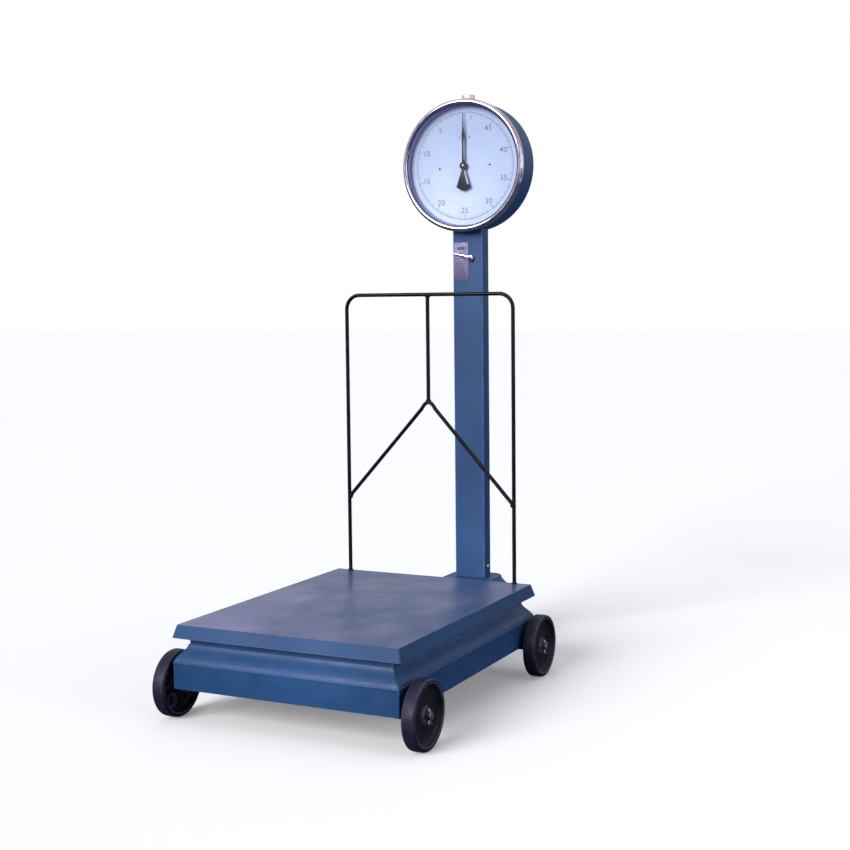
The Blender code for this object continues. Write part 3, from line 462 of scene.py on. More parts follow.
def mesh_object(name, bm, material, angle=38.0):
    """A named object from a closed bmesh, smooth apart from its sharp edges."""
    bmesh.ops.remove_doubles(bm, verts=bm.verts, dist=0.000002)
    bmesh.ops.dissolve_degenerate(bm, edges=bm.edges, dist=0.000001)
    bmesh.ops.recalc_face_normals(bm, faces=bm.faces)
    mesh = bpy.data.meshes.new(name)
    bm.to_mesh(mesh)
    bm.free()
    mesh.shade_smooth()
    mesh.set_sharp_from_angle(angle=radians(angle))
    mesh.materials.append(material)
    return new_object(name, mesh)


def add_skin(bm, rings, loop=False):
    """Close a surface over rings that have the same number of points."""
    rows = [[bm.verts.new(point) for point in ring] for ring in rings]
    pairs = list(zip(rows, rows[1:]))
    if loop:
        pairs.append((rows[-1], rows[0]))
    for first, second in pairs:
        for i, start in enumerate(first):
            j = (i + 1) % len(first)
            bm.faces.new((start, first[j], second[j], second[i]))
    if not loop:
        bm.faces.new(list(reversed(rows[0])))
        bm.faces.new(rows[-1])


def skin(name, rings, material, loop=False, angle=38.0):
    """An object whose surface runs over rings of points."""
    bm = bmesh.new()
    add_skin(bm, rings, loop)
    return mesh_object(name, bm, material, angle)


def lathe(name, profile, closed, steps, material, centre, direction, wave=None):
    """A piece turned from (radius, height) points, closed on itself or on its axis."""
    bm = bmesh.new()
    rows = []
    for radius, height in profile:
        if radius < 0.00001:
            rows.append([bm.verts.new((0.0, 0.0, height))])
            continue
        row = []
        for i in range(steps):
            angle = 2 * pi * i / steps
            reach = radius * (wave(angle, height) if wave else 1.0)
            row.append(bm.verts.new((reach * cos(angle), reach * sin(angle), height)))
        rows.append(row)
    pairs = list(zip(rows, rows[1:]))
    if closed:
        pairs.append((rows[-1], rows[0]))
    for first, second in pairs:
        for i in range(steps):
            j = (i + 1) % steps
            corners = [first[i % len(first)], first[j % len(first)], second[j % len(second)],
                second[i % len(second)]]
            corners = list(dict.fromkeys(corners))
            if len(corners) > 2:
                bm.faces.new(corners)
    bm.transform(Matrix.Translation(centre) @ direction.to_4x4())
    return mesh_object(name, bm, material)


def arc(centre, radius, start, end, steps):
    """Points on an arc, angles in degrees, both ends included."""
    angles = [radians(start + (end - start) * i / steps) for i in range(steps + 1)]
    return [(centre[0] + radius * cos(a), centre[1] + radius * sin(a)) for a in angles]


def circle(radius, steps, centre=(0.0, 0.0)):
    """Points of a closed circle."""
    return arc(centre, radius, 0, 360, steps)[:-1]


def rounded_rectangle(width, height, radius, steps=6):
    """Points of a rectangle with round corners, centred."""
    a = width / 2 - radius
    b = height / 2 - radius
    return (arc((a, b), radius, 0, 90, steps) + arc((-a, b), radius, 90, 180, steps)
        + arc((-a, -b), radius, 180, 270, steps) + arc((a, -b), radius, 270, 360, steps))


def inset(outline, distance):
    """A counter-clockwise outline moved inwards by a distance."""
    moved = []
    count = len(outline)
    for i, point in enumerate(outline):
        here = Vector(point)
        before = here - Vector(outline[i - 1])
        after = Vector(outline[(i + 1) % count]) - here
        first = Vector((-before.y, before.x)).normalized()
        second = Vector((-after.y, after.x)).normalized()
        mitre = first + second
        moved.append(here + mitre * (2 * distance / max(mitre.length_squared, 0.4)))
    return [(p.x, p.y) for p in moved]


def lift(outline, height, centre, direction):
    """An outline as 3-D points at a height above its own plane."""
    origin = Vector(centre)
    return [origin + direction @ Vector((a, b, height)) for a, b in outline]


def slab(name, outline, thickness, rounding, material, centre, direction, steps=3):
    """A flat outline given a thickness about its centre, its edges rounded."""
    rings = []
    half = thickness / 2
    for side in (-1, 1):
        for i in range(steps + 1):
            turn = pi / 2 * (i if side < 0 else steps - i) / steps
            inner = inset(outline, rounding * (1 - sin(turn)))
            height = side * (half - rounding * (1 - cos(turn)))
            rings.append(lift(inner, height, centre, direction))
    return skin(name, rings, material)


def tube(name, points, radius, material, sides=20, ends=0.0):
    """A round rod or wire along points, its ends closed and a little rounded."""
    path = [Vector(point) for point in points]
    rings = []
    normal = None
    for i, here in enumerate(path):
        before = path[i - 1] if i else here
        after = path[i + 1] if i < len(path) - 1 else here
        along = (after - before).normalized()
        if normal is None:
            normal = along.orthogonal().normalized()
        normal = (normal - along * normal.dot(along)).normalized()
        side = along.cross(normal)
        ring = []
        for k in range(sides):
            angle = 2 * pi * k / sides
            ring.append((normal * cos(angle) + side * sin(angle), here, along))
        rings.append(ring)

    def swept(ring, size, shift=0.0):
        return [here + along * shift + out * size for out, here, along in ring]

    body = [swept(ring, radius) for ring in rings]
    if ends:
        body[0] = swept(rings[0], radius, ends)
        body[-1] = swept(rings[-1], radius, -ends)
        body.insert(0, swept(rings[0], radius - ends))
        body.append(swept(rings[-1], radius - ends))
    return skin(name, body, material)


def cut(piece, *cutters):
    """Take shapes out of a piece for good."""
    for cutter in cutters:
        step = piece.modifiers.new("cut", "BOOLEAN")
        step.operation = "DIFFERENCE"
        step.object = cutter
    graph = bpy.context.evaluated_depsgraph_get()
    mesh = bpy.data.meshes.new_from_object(piece.evaluated_get(graph))
    piece.modifiers.clear()
    piece.data = mesh
    mesh.shade_smooth()
    mesh.set_sharp_from_angle(angle=radians(38))
    for cutter in cutters:
        bpy.data.objects.remove(cutter, do_unlink=True)


def rod(name, radius, length, centre, direction, steps=32):
    """A plain round cutter."""
    outline = [(0.0, length / 2), (radius, length / 2), (radius, -length / 2), (0.0, -length / 2)]
    return lathe(name, outline, False, steps, BLUE_ENAMEL, centre, direction)


# ---------- base

def corner(point, before, after, radius, steps):
    """Points that round one corner of an outline."""
    here, start, end = Vector(point), Vector(before), Vector(after)
    entry = (start - here).normalized()
    leave = (end - here).normalized()
    half = entry.angle(leave) / 2
    reach = radius / tan(half)
    centre = here + (entry + leave).normalized() * (radius / sin(half))
    first = here + entry * reach - centre
    last = here + leave * reach - centre
    sweep = first.angle_signed(last)
    points = []
    for i in range(steps + 1):
        turned = first.copy()
        turned.rotate(Matrix.Rotation(-sweep * i / steps, 2))
        points.append(tuple(centre + turned))
    return points


def base_outline(distance):
    """Plan of the base and its tongue, counter-clockwise, moved inwards."""
    plate = middle("platform_plate")
    half = BASE_WIDTH / 2 - distance
    tongue = TONGUE_WIDTH / 2 - distance
    front = plate.y - BASE_LENGTH / 2 + distance
    back = plate.y + BASE_LENGTH / 2 - distance
    rear = high("base_frame").y - distance
    points = [(half, front), (half, back), (tongue, back), (tongue, rear), (-tongue, rear),
        (-tongue, back), (-half, back), (-half, front)]
    small = 0.004
    tight = max(small - distance * 0.15, 0.001)
    wide = TONGUE_CORNER - distance
    radii = [tight, tight, small + distance, wide, wide, small + distance, tight, tight]
    steps = [5, 5, 5, 16, 16, 5, 5, 5]
    outline = []
    for i, point in enumerate(points):
        outline += corner(point, points[i - 1], points[(i + 1) % 8], radii[i], steps[i])
    return outline


def build_base():
    """The base casting: shell with apron, ridge and ogee, neck rim, deck, ribs, lugs."""
    plate = middle("platform_plate")
    bottom = APRON_BOTTOM
    outside = [(0.0018, bottom), (0.0009, bottom + 0.0004), (0.0006, bottom + 0.0014),
        (0.0006, RIDGE_Z - 0.005), (0.0004, RIDGE_Z - 0.0036), (0.0, RIDGE_Z - 0.0022),
        (0.0001, RIDGE_Z - 0.0008), (0.0006, RIDGE_Z + 0.0002), (0.0014, RIDGE_Z + 0.0006)]
    steps = 14
    for i in range(1, steps + 1):
        t = i / steps
        sweep = (1 - cos(pi * t)) / 2
        distance = 0.0014 + (NECK_INSET - 0.0014) * (0.82 * sweep + 0.18 * t)
        outside.append((distance, RIDGE_Z + 0.0006 + (SHELL_TOP - RIDGE_Z - 0.0006) * t))
    inside = [(NECK_INSET + BASE_WALL, SHELL_TOP - 0.0004),
        (NECK_INSET * 0.5 + BASE_WALL, (RIDGE_Z + SHELL_TOP) / 2 - 0.003), (BASE_WALL, RIDGE_Z - 0.003),
        (BASE_WALL, bottom + 0.0014), (BASE_WALL - 0.0012, bottom)]
    rings = [[Vector((x, y, height)) for x, y in base_outline(distance)] for distance, height in outside
        + inside]
    shell = skin("base_shell", rings, BLUE_ENAMEL, loop=True, angle=32)
    for end in ("front", "rear"):
        axle = middle(end + "_axle")
        cut(shell, rod("axle_way", AXLE_BORE, 0.48, axle, TO_RIGHT))
    place(shell, "base", "blue_paint", "base_frame")

    width = BASE_WIDTH - 2 * NECK_INSET - 0.002
    length = BASE_LENGTH - 2 * NECK_INSET - 0.002
    rings = []
    for side, level in ((0.0, 0), (0.0, 1), (0.0008, 2), (0.0042, 2), (0.005, 1), (0.005, 0)):
        outline = rounded_rectangle(width - 2 * side, length - 2 * side, 0.006 - side * 0.5)
        height = (SHELL_TOP - 0.005, NECK_TOP - 0.0008, NECK_TOP)[level]
        rings.append(lift(outline, 0.0, (0, plate.y, height), FLAT))
    place(skin("neck_rim", rings, BLUE_ENAMEL, loop=True), "base", "blue_paint")

    deck_inset = NECK_INSET + 0.0012
    rear = high("base_frame").y
    back = plate.y + BASE_LENGTH / 2 - NECK_INSET - 0.004
    half = TONGUE_WIDTH / 2 - deck_inset
    radius = TONGUE_CORNER - deck_inset
    centre = (TONGUE_WIDTH / 2 - TONGUE_CORNER, rear - TONGUE_CORNER)
    outline = ([(-half, back), (half, back)] + arc(centre, radius, 0, 90, 14)
        + arc((-centre[0], centre[1]), radius, 90, 180, 14))
    deck_top = SHELL_TOP - 0.0002
    deck = slab("tongue_deck", outline, 0.006, 0.0008, BLUE_ENAMEL, (0, 0, deck_top - 0.003), FLAT)
    way = middle("pull_rod")

    def rod_way(height):
        return slab("rod_way", rounded_rectangle(0.03, 0.024, 0.003), 0.08, 0.001, BLUE_ENAMEL,
            (way.x, way.y, height), FLAT)

    cut(deck, rod_way(deck_top))
    place(deck, "base", "blue_paint")

    column = middle("column_tube")
    outer = extent("column_tube")
    clear = 2 * COLUMN_WALL + 0.0006
    spigot = slab("column_spigot", rounded_rectangle(outer.x - clear, outer.y - clear, 0.0035), 0.041,
        0.0008, BLUE_ENAMEL, (0, column.y, deck_top + 0.0205), FLAT)
    cut(spigot, rod_way(deck_top + 0.02))
    place(spigot, "base", "blue_paint")

    for end, stand in (("front", "fulcrum_stand_front_left"), ("rear", "fulcrum_stand_rear_left")):
        rib = slab(end + "_rib", rounded_rectangle(BASE_WIDTH - 2 * BASE_WALL + 0.002, 0.048, 0.001),
            RIB_HEIGHT, 0.001, BLUE_ENAMEL, (0, middle(stand).y, RIB_Z), FLAT)
        place(rib, "base", "blue_paint")
        axle = middle(end + "_axle")
        for side, sign in SIDES:
            lug = slab(f"axle_lug_{end}_{side}", rounded_rectangle(0.028, 0.022, 0.009), 0.024, 0.0012,
                BLUE_ENAMEL, (sign * LUG_X, axle.y, axle.z), TO_RIGHT)
            cut(lug, rod("axle_way", AXLE_BORE, 0.05, (sign * LUG_X, axle.y, axle.z), TO_RIGHT))
            place(lug, "base", "blue_paint")


# ---------- wheels

def wheel_profile(radius, hub_in, hub_out):
    """Section of a cast wheel: crowned tread, rim lips, dished web and long hub."""
    half = WHEEL_HALF_WIDTH
    rim = 0.0542
    crown = 0.0042
    angles = [pi / 2 * i / 7 for i in range(8)]
    outer = [(radius - crown + crown * sin(a), half - crown + crown * cos(a)) for a in angles]
    inner = [(r, -h) for r, h in reversed(outer)]
    return ([(rim, half - 0.0006), (rim + 0.0006, half)] + outer + inner
        + [(rim + 0.0006, -half), (rim, 0.0006 - half), (0.0522, -0.007), (0.05, -0.0046),
        (0.048, -0.0036), (0.0205, -0.0036), (0.019, -0.0046), (0.0178, -0.007),
        (0.0162, hub_in + 0.0008), (0.0154, hub_in), (AXLE_BORE, hub_in), (AXLE_BORE, hub_out),
        (0.0146, hub_out), (0.0155, hub_out - 0.0008), (0.0172, 0.0042), (0.0196, 0.0036),
        (0.048, 0.0036), (0.05, 0.0046), (0.0522, 0.007)])


def mark_distance(wheel, centre):
    """Note on each point of a wheel how far it is from the axle."""
    mesh = wheel.data
    layer = mesh.attributes.new("distance_from_axle", "FLOAT", "POINT")
    for point, value in zip(mesh.vertices, layer.data):
        value.value = hypot(point.co.y - centre.y, point.co.z - centre.z)


def build_wheel(end, side, sign):
    """One wheel with blind pockets in its inner face, on its own body."""
    name = f"{end}_{side}"
    node = "wheel_" + name
    centre = middle(node)
    axle_x = middle("washer_" + name).x
    inner_face, outer_face = sorted((abs(low(node).x), abs(high(node).x)))
    middle_x = outer_face - WHEEL_HALF_WIDTH
    hub_in = inner_face - middle_x
    hub_out = abs(axle_x) - 0.0013 - middle_x
    origin = Vector((sign * middle_x, centre.y, centre.z))
    direction = outward(sign)
    wheel = lathe(node + "_casting", wheel_profile(extent(node).z / 2, hub_in, hub_out), True, 72,
        WHEEL_IRON, origin, direction)
    pockets = []
    for i in range(POCKETS):
        angle = 2 * pi * (i + 0.25) / POCKETS
        spot = origin + POCKET_CIRCLE * Vector((0, cos(angle), sin(angle)))
        profile = [(0.0, 0.001), (0.0108, 0.001), (0.0114, 0.0006), (0.0117, -0.0004), (0.0122, -0.01),
            (0.0, -0.01)]
        pockets.append(lathe("web_pocket", profile, False, 32, POCKET_GREY, spot, direction))
    cut(wheel, *pockets)
    mark_distance(wheel, origin)
    place(wheel, node, "wheel_iron", node)

    washer = "washer_" + name
    face = [(0.014, 0.001), (0.0145, 0.0005), (0.0145, -0.0005), (0.014, -0.001), (AXLE_BORE, -0.001),
        (AXLE_BORE, 0.001)]
    place(lathe(washer + "_disc", face, True, 48, HUB_STEEL, middle(washer), TO_RIGHT), "base", "steel",
        washer)
    build_split_pin(name, sign)


def build_split_pin(name, sign):
    """Split pin bent from one wire: eye on top, two legs opened below the axle."""
    node = "split_pin_" + name
    top = high(node).z
    bottom = low(node).z
    x = sign * max(abs(low(node).x), abs(high(node).x)) - sign * 0.0033
    y = middle("washer_" + name).y
    wire_radius = 0.0013
    eye_radius = 0.0026
    z = top - 0.0036

    def leg(way):
        shift = way * 0.0012
        return [(x, y + shift, z - 0.003), (x, y + shift, bottom + 0.0135),
            (x + sign * 0.0004, y + way * 0.002, bottom + 0.01),
            (x + sign * 0.0012, y + way * 0.0048, bottom + 0.005 - way * 0.0016),
            (x + sign * 0.0018, y + way * 0.0074, bottom + 0.0028 - way * 0.0018)]

    head = [(x, y + eye_radius * cos(a), z + eye_radius * sin(a)) for a
        in (radians(d) for d in range(-60, 241, 20))]
    path = list(reversed(leg(1))) + head + leg(-1)
    place(tube(node + "_wire", path, wire_radius, STEEL, 12, ends=0.0003), "base", "steel", node)


def build_axle(end):
    """Through axle with chamfered ends."""
    node = end + "_axle"
    half = high(node).x
    radius = extent(node).z / 2
    profile = [(0.0, half), (radius - 0.0012, half), (radius, half - 0.0012), (radius, -half + 0.0012),
        (radius - 0.0012, -half), (0.0, -half)]
    centre = middle(node)
    place(lathe(node + "_bar", profile, False, 40, HUB_STEEL, centre, TO_RIGHT), "base", "steel", node)


# ---------- platform

def build_platform():
    """Folded plate with a flared skirt, its mitred corners just eased."""
    bottom_low, top_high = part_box("platform_plate")
    half_x = top_high.x - SKIRT_FLARE
    half_y = (top_high.y - bottom_low.y) / 2 - SKIRT_FLARE
    centre = middle("platform_plate")
    top = top_high.z
    drop = top - bottom_low.z
    flare = SKIRT_FLARE / drop

    def ring(grow, height):
        outline = rounded_rectangle(2 * (half_x + grow), 2 * (half_y + grow), 0.0022
            + max(grow, 0.0) * 0.25, 5)
        return lift(outline, 0.0, (0, centre.y, height), FLAT)

    rings = [ring(-0.0026, top)]
    fold = 0.002
    for i in range(1, 5):
        a = pi / 2 * i / 4
        rings.append(ring(-fold + fold * sin(a) + flare * fold * 0.5, top - fold * (1 - cos(a))))
    for share in (0.35, 0.65):
        rings.append(ring(SKIRT_FLARE * share, top - drop * share))
    rings += [ring(SKIRT_FLARE - 0.0001, top - drop + 0.0006), ring(SKIRT_FLARE - 0.0006, top - drop),
        ring(SKIRT_FLARE - PLATE + 0.0004, top - drop), ring(SKIRT_FLARE - PLATE, top - drop + 0.0006),
        ring(-PLATE + 0.001, top - PLATE - 0.0012), ring(-PLATE - 0.0012, top - PLATE)]
    plate = skin("platform_deck", rings, PLATFORM_ENAMEL, angle=32)
    place(plate, "platform", "platform_paint", "platform_plate")


def build_guard():
    """Black rod guard: hoop, bent brace, centre rod, and the welds that join them."""
    radius = GUARD_RADIUS
    y = middle("guard_hoop").y
    x = high("guard_hoop").x - radius
    foot = low("guard_hoop").z
    top = high("guard_hoop").z - radius
    right = [(x, foot), (x, foot + 0.12), (x, (foot + top) / 2)]
    right += arc((x - GUARD_CORNER, top - GUARD_CORNER), GUARD_CORNER, 0, 90, 14)
    points = right + [(-a, b) for a, b in reversed(right)]
    hoop = tube("guard_hoop_rod", [(a, y, b) for a, b in points], radius, BLACK_ENAMEL)
    place(hoop, "platform", "black_paint", "guard_hoop")

    apex = high("guard_brace").z - radius
    end = high("guard_brace").x
    ends = low("guard_brace").z + radius
    slope = (apex - ends) / end
    bend = 0.016
    right = [(end + 0.0035, ends - 0.0035 * slope), (bend, apex - slope * bend * 0.82)]
    for t in (0.2, 0.4, 0.6, 0.8):
        right.append((bend * (1 - t), apex - slope * bend * 0.82 * (1 - t) ** 2))
    points = right + [(0.0, apex)] + [(-a, b) for a, b in reversed(right)]
    brace = tube("guard_brace_rod", [(a, y, b) for a, b in points], radius, BLACK_ENAMEL)
    place(brace, "platform", "black_paint", "guard_brace")
    upright = tube("guard_centre_rod", [(0, y, apex + radius * 0.6), (0, y, top - radius * 0.6)],
        radius, BLACK_ENAMEL)
    place(upright, "platform", "black_paint", "guard_rod")

    bead = [(0.0, 0.003), (radius, 0.0026), (radius + 0.0014, 0.0012), (radius + 0.0018, 0.0),
        (radius + 0.0014, -0.0012), (radius, -0.0026), (0.0, -0.003)]

    def lumpy(angle, height):
        return 1 + 0.05 * sin(5 * angle + 900 * height) + 0.03 * sin(11 * angle)

    spots = [("apex", (0, y, apex + radius), FLAT), ("top", (0, y, top - radius), FLAT)]
    for side, sign in SIDES:
        spots.append(("brace_" + side, (sign * (x - radius), y, ends - 0.003), TO_RIGHT))
        spots.append(("foot_" + side, (sign * x, y, high("platform_plate").z + 0.0005), FLAT))
    for name, spot, direction in spots:
        place(lathe("guard_weld_" + name, bead, False, 30, BLACK_ENAMEL, spot, direction, lumpy),
            "platform", "black_paint")


# ---------- column

def build_column():
    """Folded rectangular tube with round corners, and its screws."""
    size = extent("column_tube")
    centre = middle("column_tube")
    bottom = low("column_tube").z
    top = high("column_tube").z

    def ring(shrink, height):
        outline = rounded_rectangle(size.x - 2 * shrink, size.y - 2 * shrink, COLUMN_CORNER - shrink, 8)
        return lift(outline, 0.0, (0, centre.y, height), FLAT)

    wall = COLUMN_WALL
    levels = [bottom + 0.0005, bottom + 0.2, bottom + 0.4, bottom + 0.6, top - 0.0005]
    rings = [ring(0.0005, bottom)] + [ring(0.0, z) for z in levels] + [ring(0.0005, top)]
    rings += [ring(wall - 0.0004, top), ring(wall, top - 0.001), ring(wall, bottom + 0.001),
        ring(wall - 0.0004, bottom)]
    place(skin("column_post", rings, BLUE_ENAMEL, loop=True), "base", "blue_paint", "column_tube")

    for side, sign in SIDES:
        node = "column_screw_" + side
        spot = middle(node)
        spot.x = sign * size.x / 2
        head = [(0.0, 0.003), (0.0022, 0.0029), (0.0042, 0.0021), (0.0052, 0.0008), (0.0053, 0.0003),
            (0.0024, 0.0003), (0.0024, -0.0085), (0.0, -0.009)]
        screw = lathe(node + "_head", head, False, 32, STEEL, spot, outward(sign))
        slot = slab("slot", rounded_rectangle(0.012, 0.0011, 0.0003), 0.0018, 0.0002, STEEL,
            spot + Vector((sign * 0.003, 0, 0)), TO_RIGHT)
        cut(screw, slot)
        place(screw, "base", "steel", node)


def build_label():
    """Data plate: thin sheet held by four rivets, with generic ruled lines."""
    node = "label_plate"
    size = extent(node)
    centre = middle(node)
    face = low(node).y
    sheet = slab(node + "_sheet", rounded_rectangle(size.x, size.z, 0.0015), size.y, 0.0002,
        LABEL_METAL, centre, TO_FRONT)
    place(sheet, "base", "label_metal", node)
    bm = bmesh.new()
    half = size.x / 2 - 0.003
    heading = centre.z + size.z / 2 - 0.0125
    rows = [(heading, 0.0062, -0.62, 0.62)]
    for i in range(11):
        width = 0.95 - 0.28 * ((i * 7) % 5) / 4
        rows.append((heading - 0.012 - 0.0052 * i, 0.0013, -0.95, width))
    for z, height, start, end in rows:
        width = (end - start) * half
        outline = rounded_rectangle(width, height, height * 0.3, 2)
        spot = (centre.x + (start + end) / 2 * half, face, z)
        add_skin(bm, [lift(outline, -0.0001, spot, TO_FRONT), lift(outline, PRINT, spot, TO_FRONT)])
    place(mesh_object("label_print", bm, LABEL_INK), "base", "label_metal")
    rivet = [(0.0, 0.0009), (0.0007, 0.0008), (0.0012, 0.0004), (0.0013, -0.0002), (0.0, -0.0002)]
    for i, (a, b) in enumerate(((-1, -1), (1, -1), (1, 1), (-1, 1))):
        spot = (centre.x + a * (size.x / 2 - 0.0022), face, centre.z + b * (size.z / 2 - 0.0026))
        place(lathe(f"label_rivet_{i + 1}", rivet, False, 20, LABEL_METAL, spot, TO_FRONT), "base",
            "label_metal")


def build_lock():
    """Bright transport-lock lever, round at its screw, slotted and drawn to a tip."""
    joint = next(j for j in frame["joints"] if j["name"] == "lock_turn")
    pivot = Vector(joint["pos_m"])
    pivot.y = middle("lock_lever").y
    reach_x = low("lock_lever").x - pivot.x + 0.0005
    reach_z = high("lock_lever").z - pivot.z - 0.0013
    tilt = atan2(reach_z, reach_x)
    reach = hypot(reach_x, reach_z)
    eye = arc((0, 0), 0.0071, 33, 327, 28)
    blade = [(0.015, -0.0036), (0.0215, -0.003), (0.0275, -0.0018), (reach - 0.001, -0.0013)]
    tip = arc((reach - 0.0012, 0), 0.0012, -80, 80, 6)
    outline = eye + blade + tip + [(a, -b) for a, b in reversed(blade)]
    turn = TO_FRONT @ Matrix.Rotation(tilt, 3, "Z")
    lever = slab("lock_lever_blade", outline, 0.0022, 0.0009, CHROME, pivot, turn, 4)
    slot_centre = pivot + turn @ Vector((0.0165, 0, 0))
    slot = slab("slot", rounded_rectangle(0.009, 0.0022, 0.00105), 0.006, 0.0001, CHROME, slot_centre,
        turn)
    cut(lever, slot, rod("eye_way", 0.0029, 0.006, pivot, TO_FRONT))
    place(lever, "lock_lever", "chrome", "lock_lever")
    head = [(0.0, 0.0021), (0.0018, 0.002), (0.003, 0.0016), (0.0036, 0.0015), (0.0036, 0.0013),
        (0.0026, 0.0013), (0.0026, -0.0045), (0.0019, -0.0048), (0.0019, -0.009), (0.0, -0.009)]
    screw = lathe("lock_screw_head", head, False, 32, OXIDE, pivot, TO_FRONT)
    slot = slab("slot", rounded_rectangle(0.008, 0.0009, 0.0003), 0.0016, 0.0002, OXIDE,
        pivot + Vector((0, -0.0022, 0)), TO_FRONT)
    cut(screw, slot)
    place(screw, "base", "steel", "lock_screw")


# ---------- dial head

def dial_centre():
    """Middle of the bezel's front plane."""
    return Vector((0, low("dial_bezel").y, middle("dial_bezel").z))


def build_case():
    """Spun drum with its rolled rear edge, the pressed rear cover and its screws."""
    centre = dial_centre()
    depth = high("dial_case").y - centre.y
    radius = high("dial_case").x
    profile = [(radius, -0.0095), (radius, -0.03), (radius, -depth + 0.005)]
    profile += [(radius - 0.004 + 0.004 * cos(a), -depth + 0.004 - 0.004 * sin(a)) for a
        in (0.25, 0.6, 0.95, 1.3, 1.57)]
    profile += [(0.131, -depth), (0.1302, -depth + 0.0006), (0.1302, -depth + 0.0016),
        (0.131, -depth + 0.0022), (radius - 0.0055, -depth + 0.0024), (radius - 0.003, -depth + 0.005),
        (radius - 0.0027, -0.0095)]
    case = lathe("dial_case_drum", profile, True, 144, BLUE_ENAMEL, centre, TO_FRONT)
    column = extent("column_tube")
    opening = slab("column_way", rounded_rectangle(column.x + 0.0006, column.y + 0.0006, COLUMN_CORNER),
        0.06, 0.001, BLUE_ENAMEL, (0, middle("column_tube").y, centre.z - radius), FLAT)
    knob = middle("zero_knob")
    cut(case, opening, rod("stem_way", 0.0036, 0.02, (0, knob.y, centre.z + radius), FLAT))
    place(case, "base", "blue_paint", "dial_case")

    rim = 0.1296
    cover = [(0.0, -depth + 0.0014), (0.09, -depth + 0.0012), (0.115, -depth + 0.0006),
        (0.118, -depth + 0.0018), (rim - 0.0006, -depth + 0.0022), (rim, -depth + 0.0018),
        (rim, -depth + 0.0006), (rim - 0.0006, -depth + 0.0002), (0.1195, -depth + 0.0001),
        (0.1165, -depth - 0.0014), (0.09, -depth - 0.0016), (0.0, -depth - 0.0016)]
    back = lathe("rear_cover_pressing", cover, False, 120, BLUE_ENAMEL, centre, TO_FRONT)
    place(back, "base", "blue_paint", "rear_cover")
    head = [(0.0, -0.0016), (0.0024, -0.0014), (0.0034, -0.0006), (0.0035, 0.0004), (0.0, 0.0004)]
    for i in range(COVER_SCREWS):
        angle = 2 * pi * (i + 0.5) / COVER_SCREWS
        spot = centre + Vector((COVER_SCREW_CIRCLE * cos(angle), depth,
            COVER_SCREW_CIRCLE * sin(angle)))
        place(lathe(f"cover_screw_{i + 1}", head, False, 24, STEEL, spot, TO_FRONT), "base", "steel")


def build_bezel():
    """Chromed bezel with a rolled front and a plain side band, and the glass."""
    centre = dial_centre()
    radius = high("dial_bezel").x
    roll = [(0.1325, -0.0045), (0.1322, -0.0034), (0.1325, -0.0022), (0.1335, -0.0012),
        (0.135, -0.0004), (0.1368, 0.0), (0.1386, -0.0003), (0.1402, -0.001), (0.1415, -0.0021),
        (0.1424, -0.0036), (0.1428, -0.0052), (0.1426, -0.0064), (0.1421, -0.007), (0.1425, -0.0075),
        (radius - 0.0001, -0.0079), (radius, -0.0086), (radius, -0.0122), (radius - 0.0004, -0.013),
        (0.1409, -0.013), (0.1409, -0.0092), (0.1373, -0.0092), (0.1373, -0.0045)]
    ring = lathe("bezel_ring", roll, True, 160, CHROME, centre, TO_FRONT)
    place(ring, "base", "chrome", "dial_bezel")
    # Painted shadow: a dark navy ring just inside the bezel's lip stands in for the shadow under the lip.
    gasket = [(0.1304, -0.0046), (0.1306, -0.0036), (0.1316, -0.0032), (0.1321, -0.0036),
        (0.1321, -0.0046)]
    place(lathe("bezel_shadow_ring", gasket, True, 144, BEZEL_SHADOW_NAVY, centre, TO_FRONT), "base",
        "black_paint")
    pane = [(0.0, -0.0048), (0.1364, -0.0048), (0.1369, -0.0053), (0.1369, -0.0073), (0.1364, -0.0078),
        (0.0, -0.0078)]
    place(lathe("dial_window", pane, False, 120, GLASS, centre, TO_FRONT), "base", "glass",
        "dial_glass")


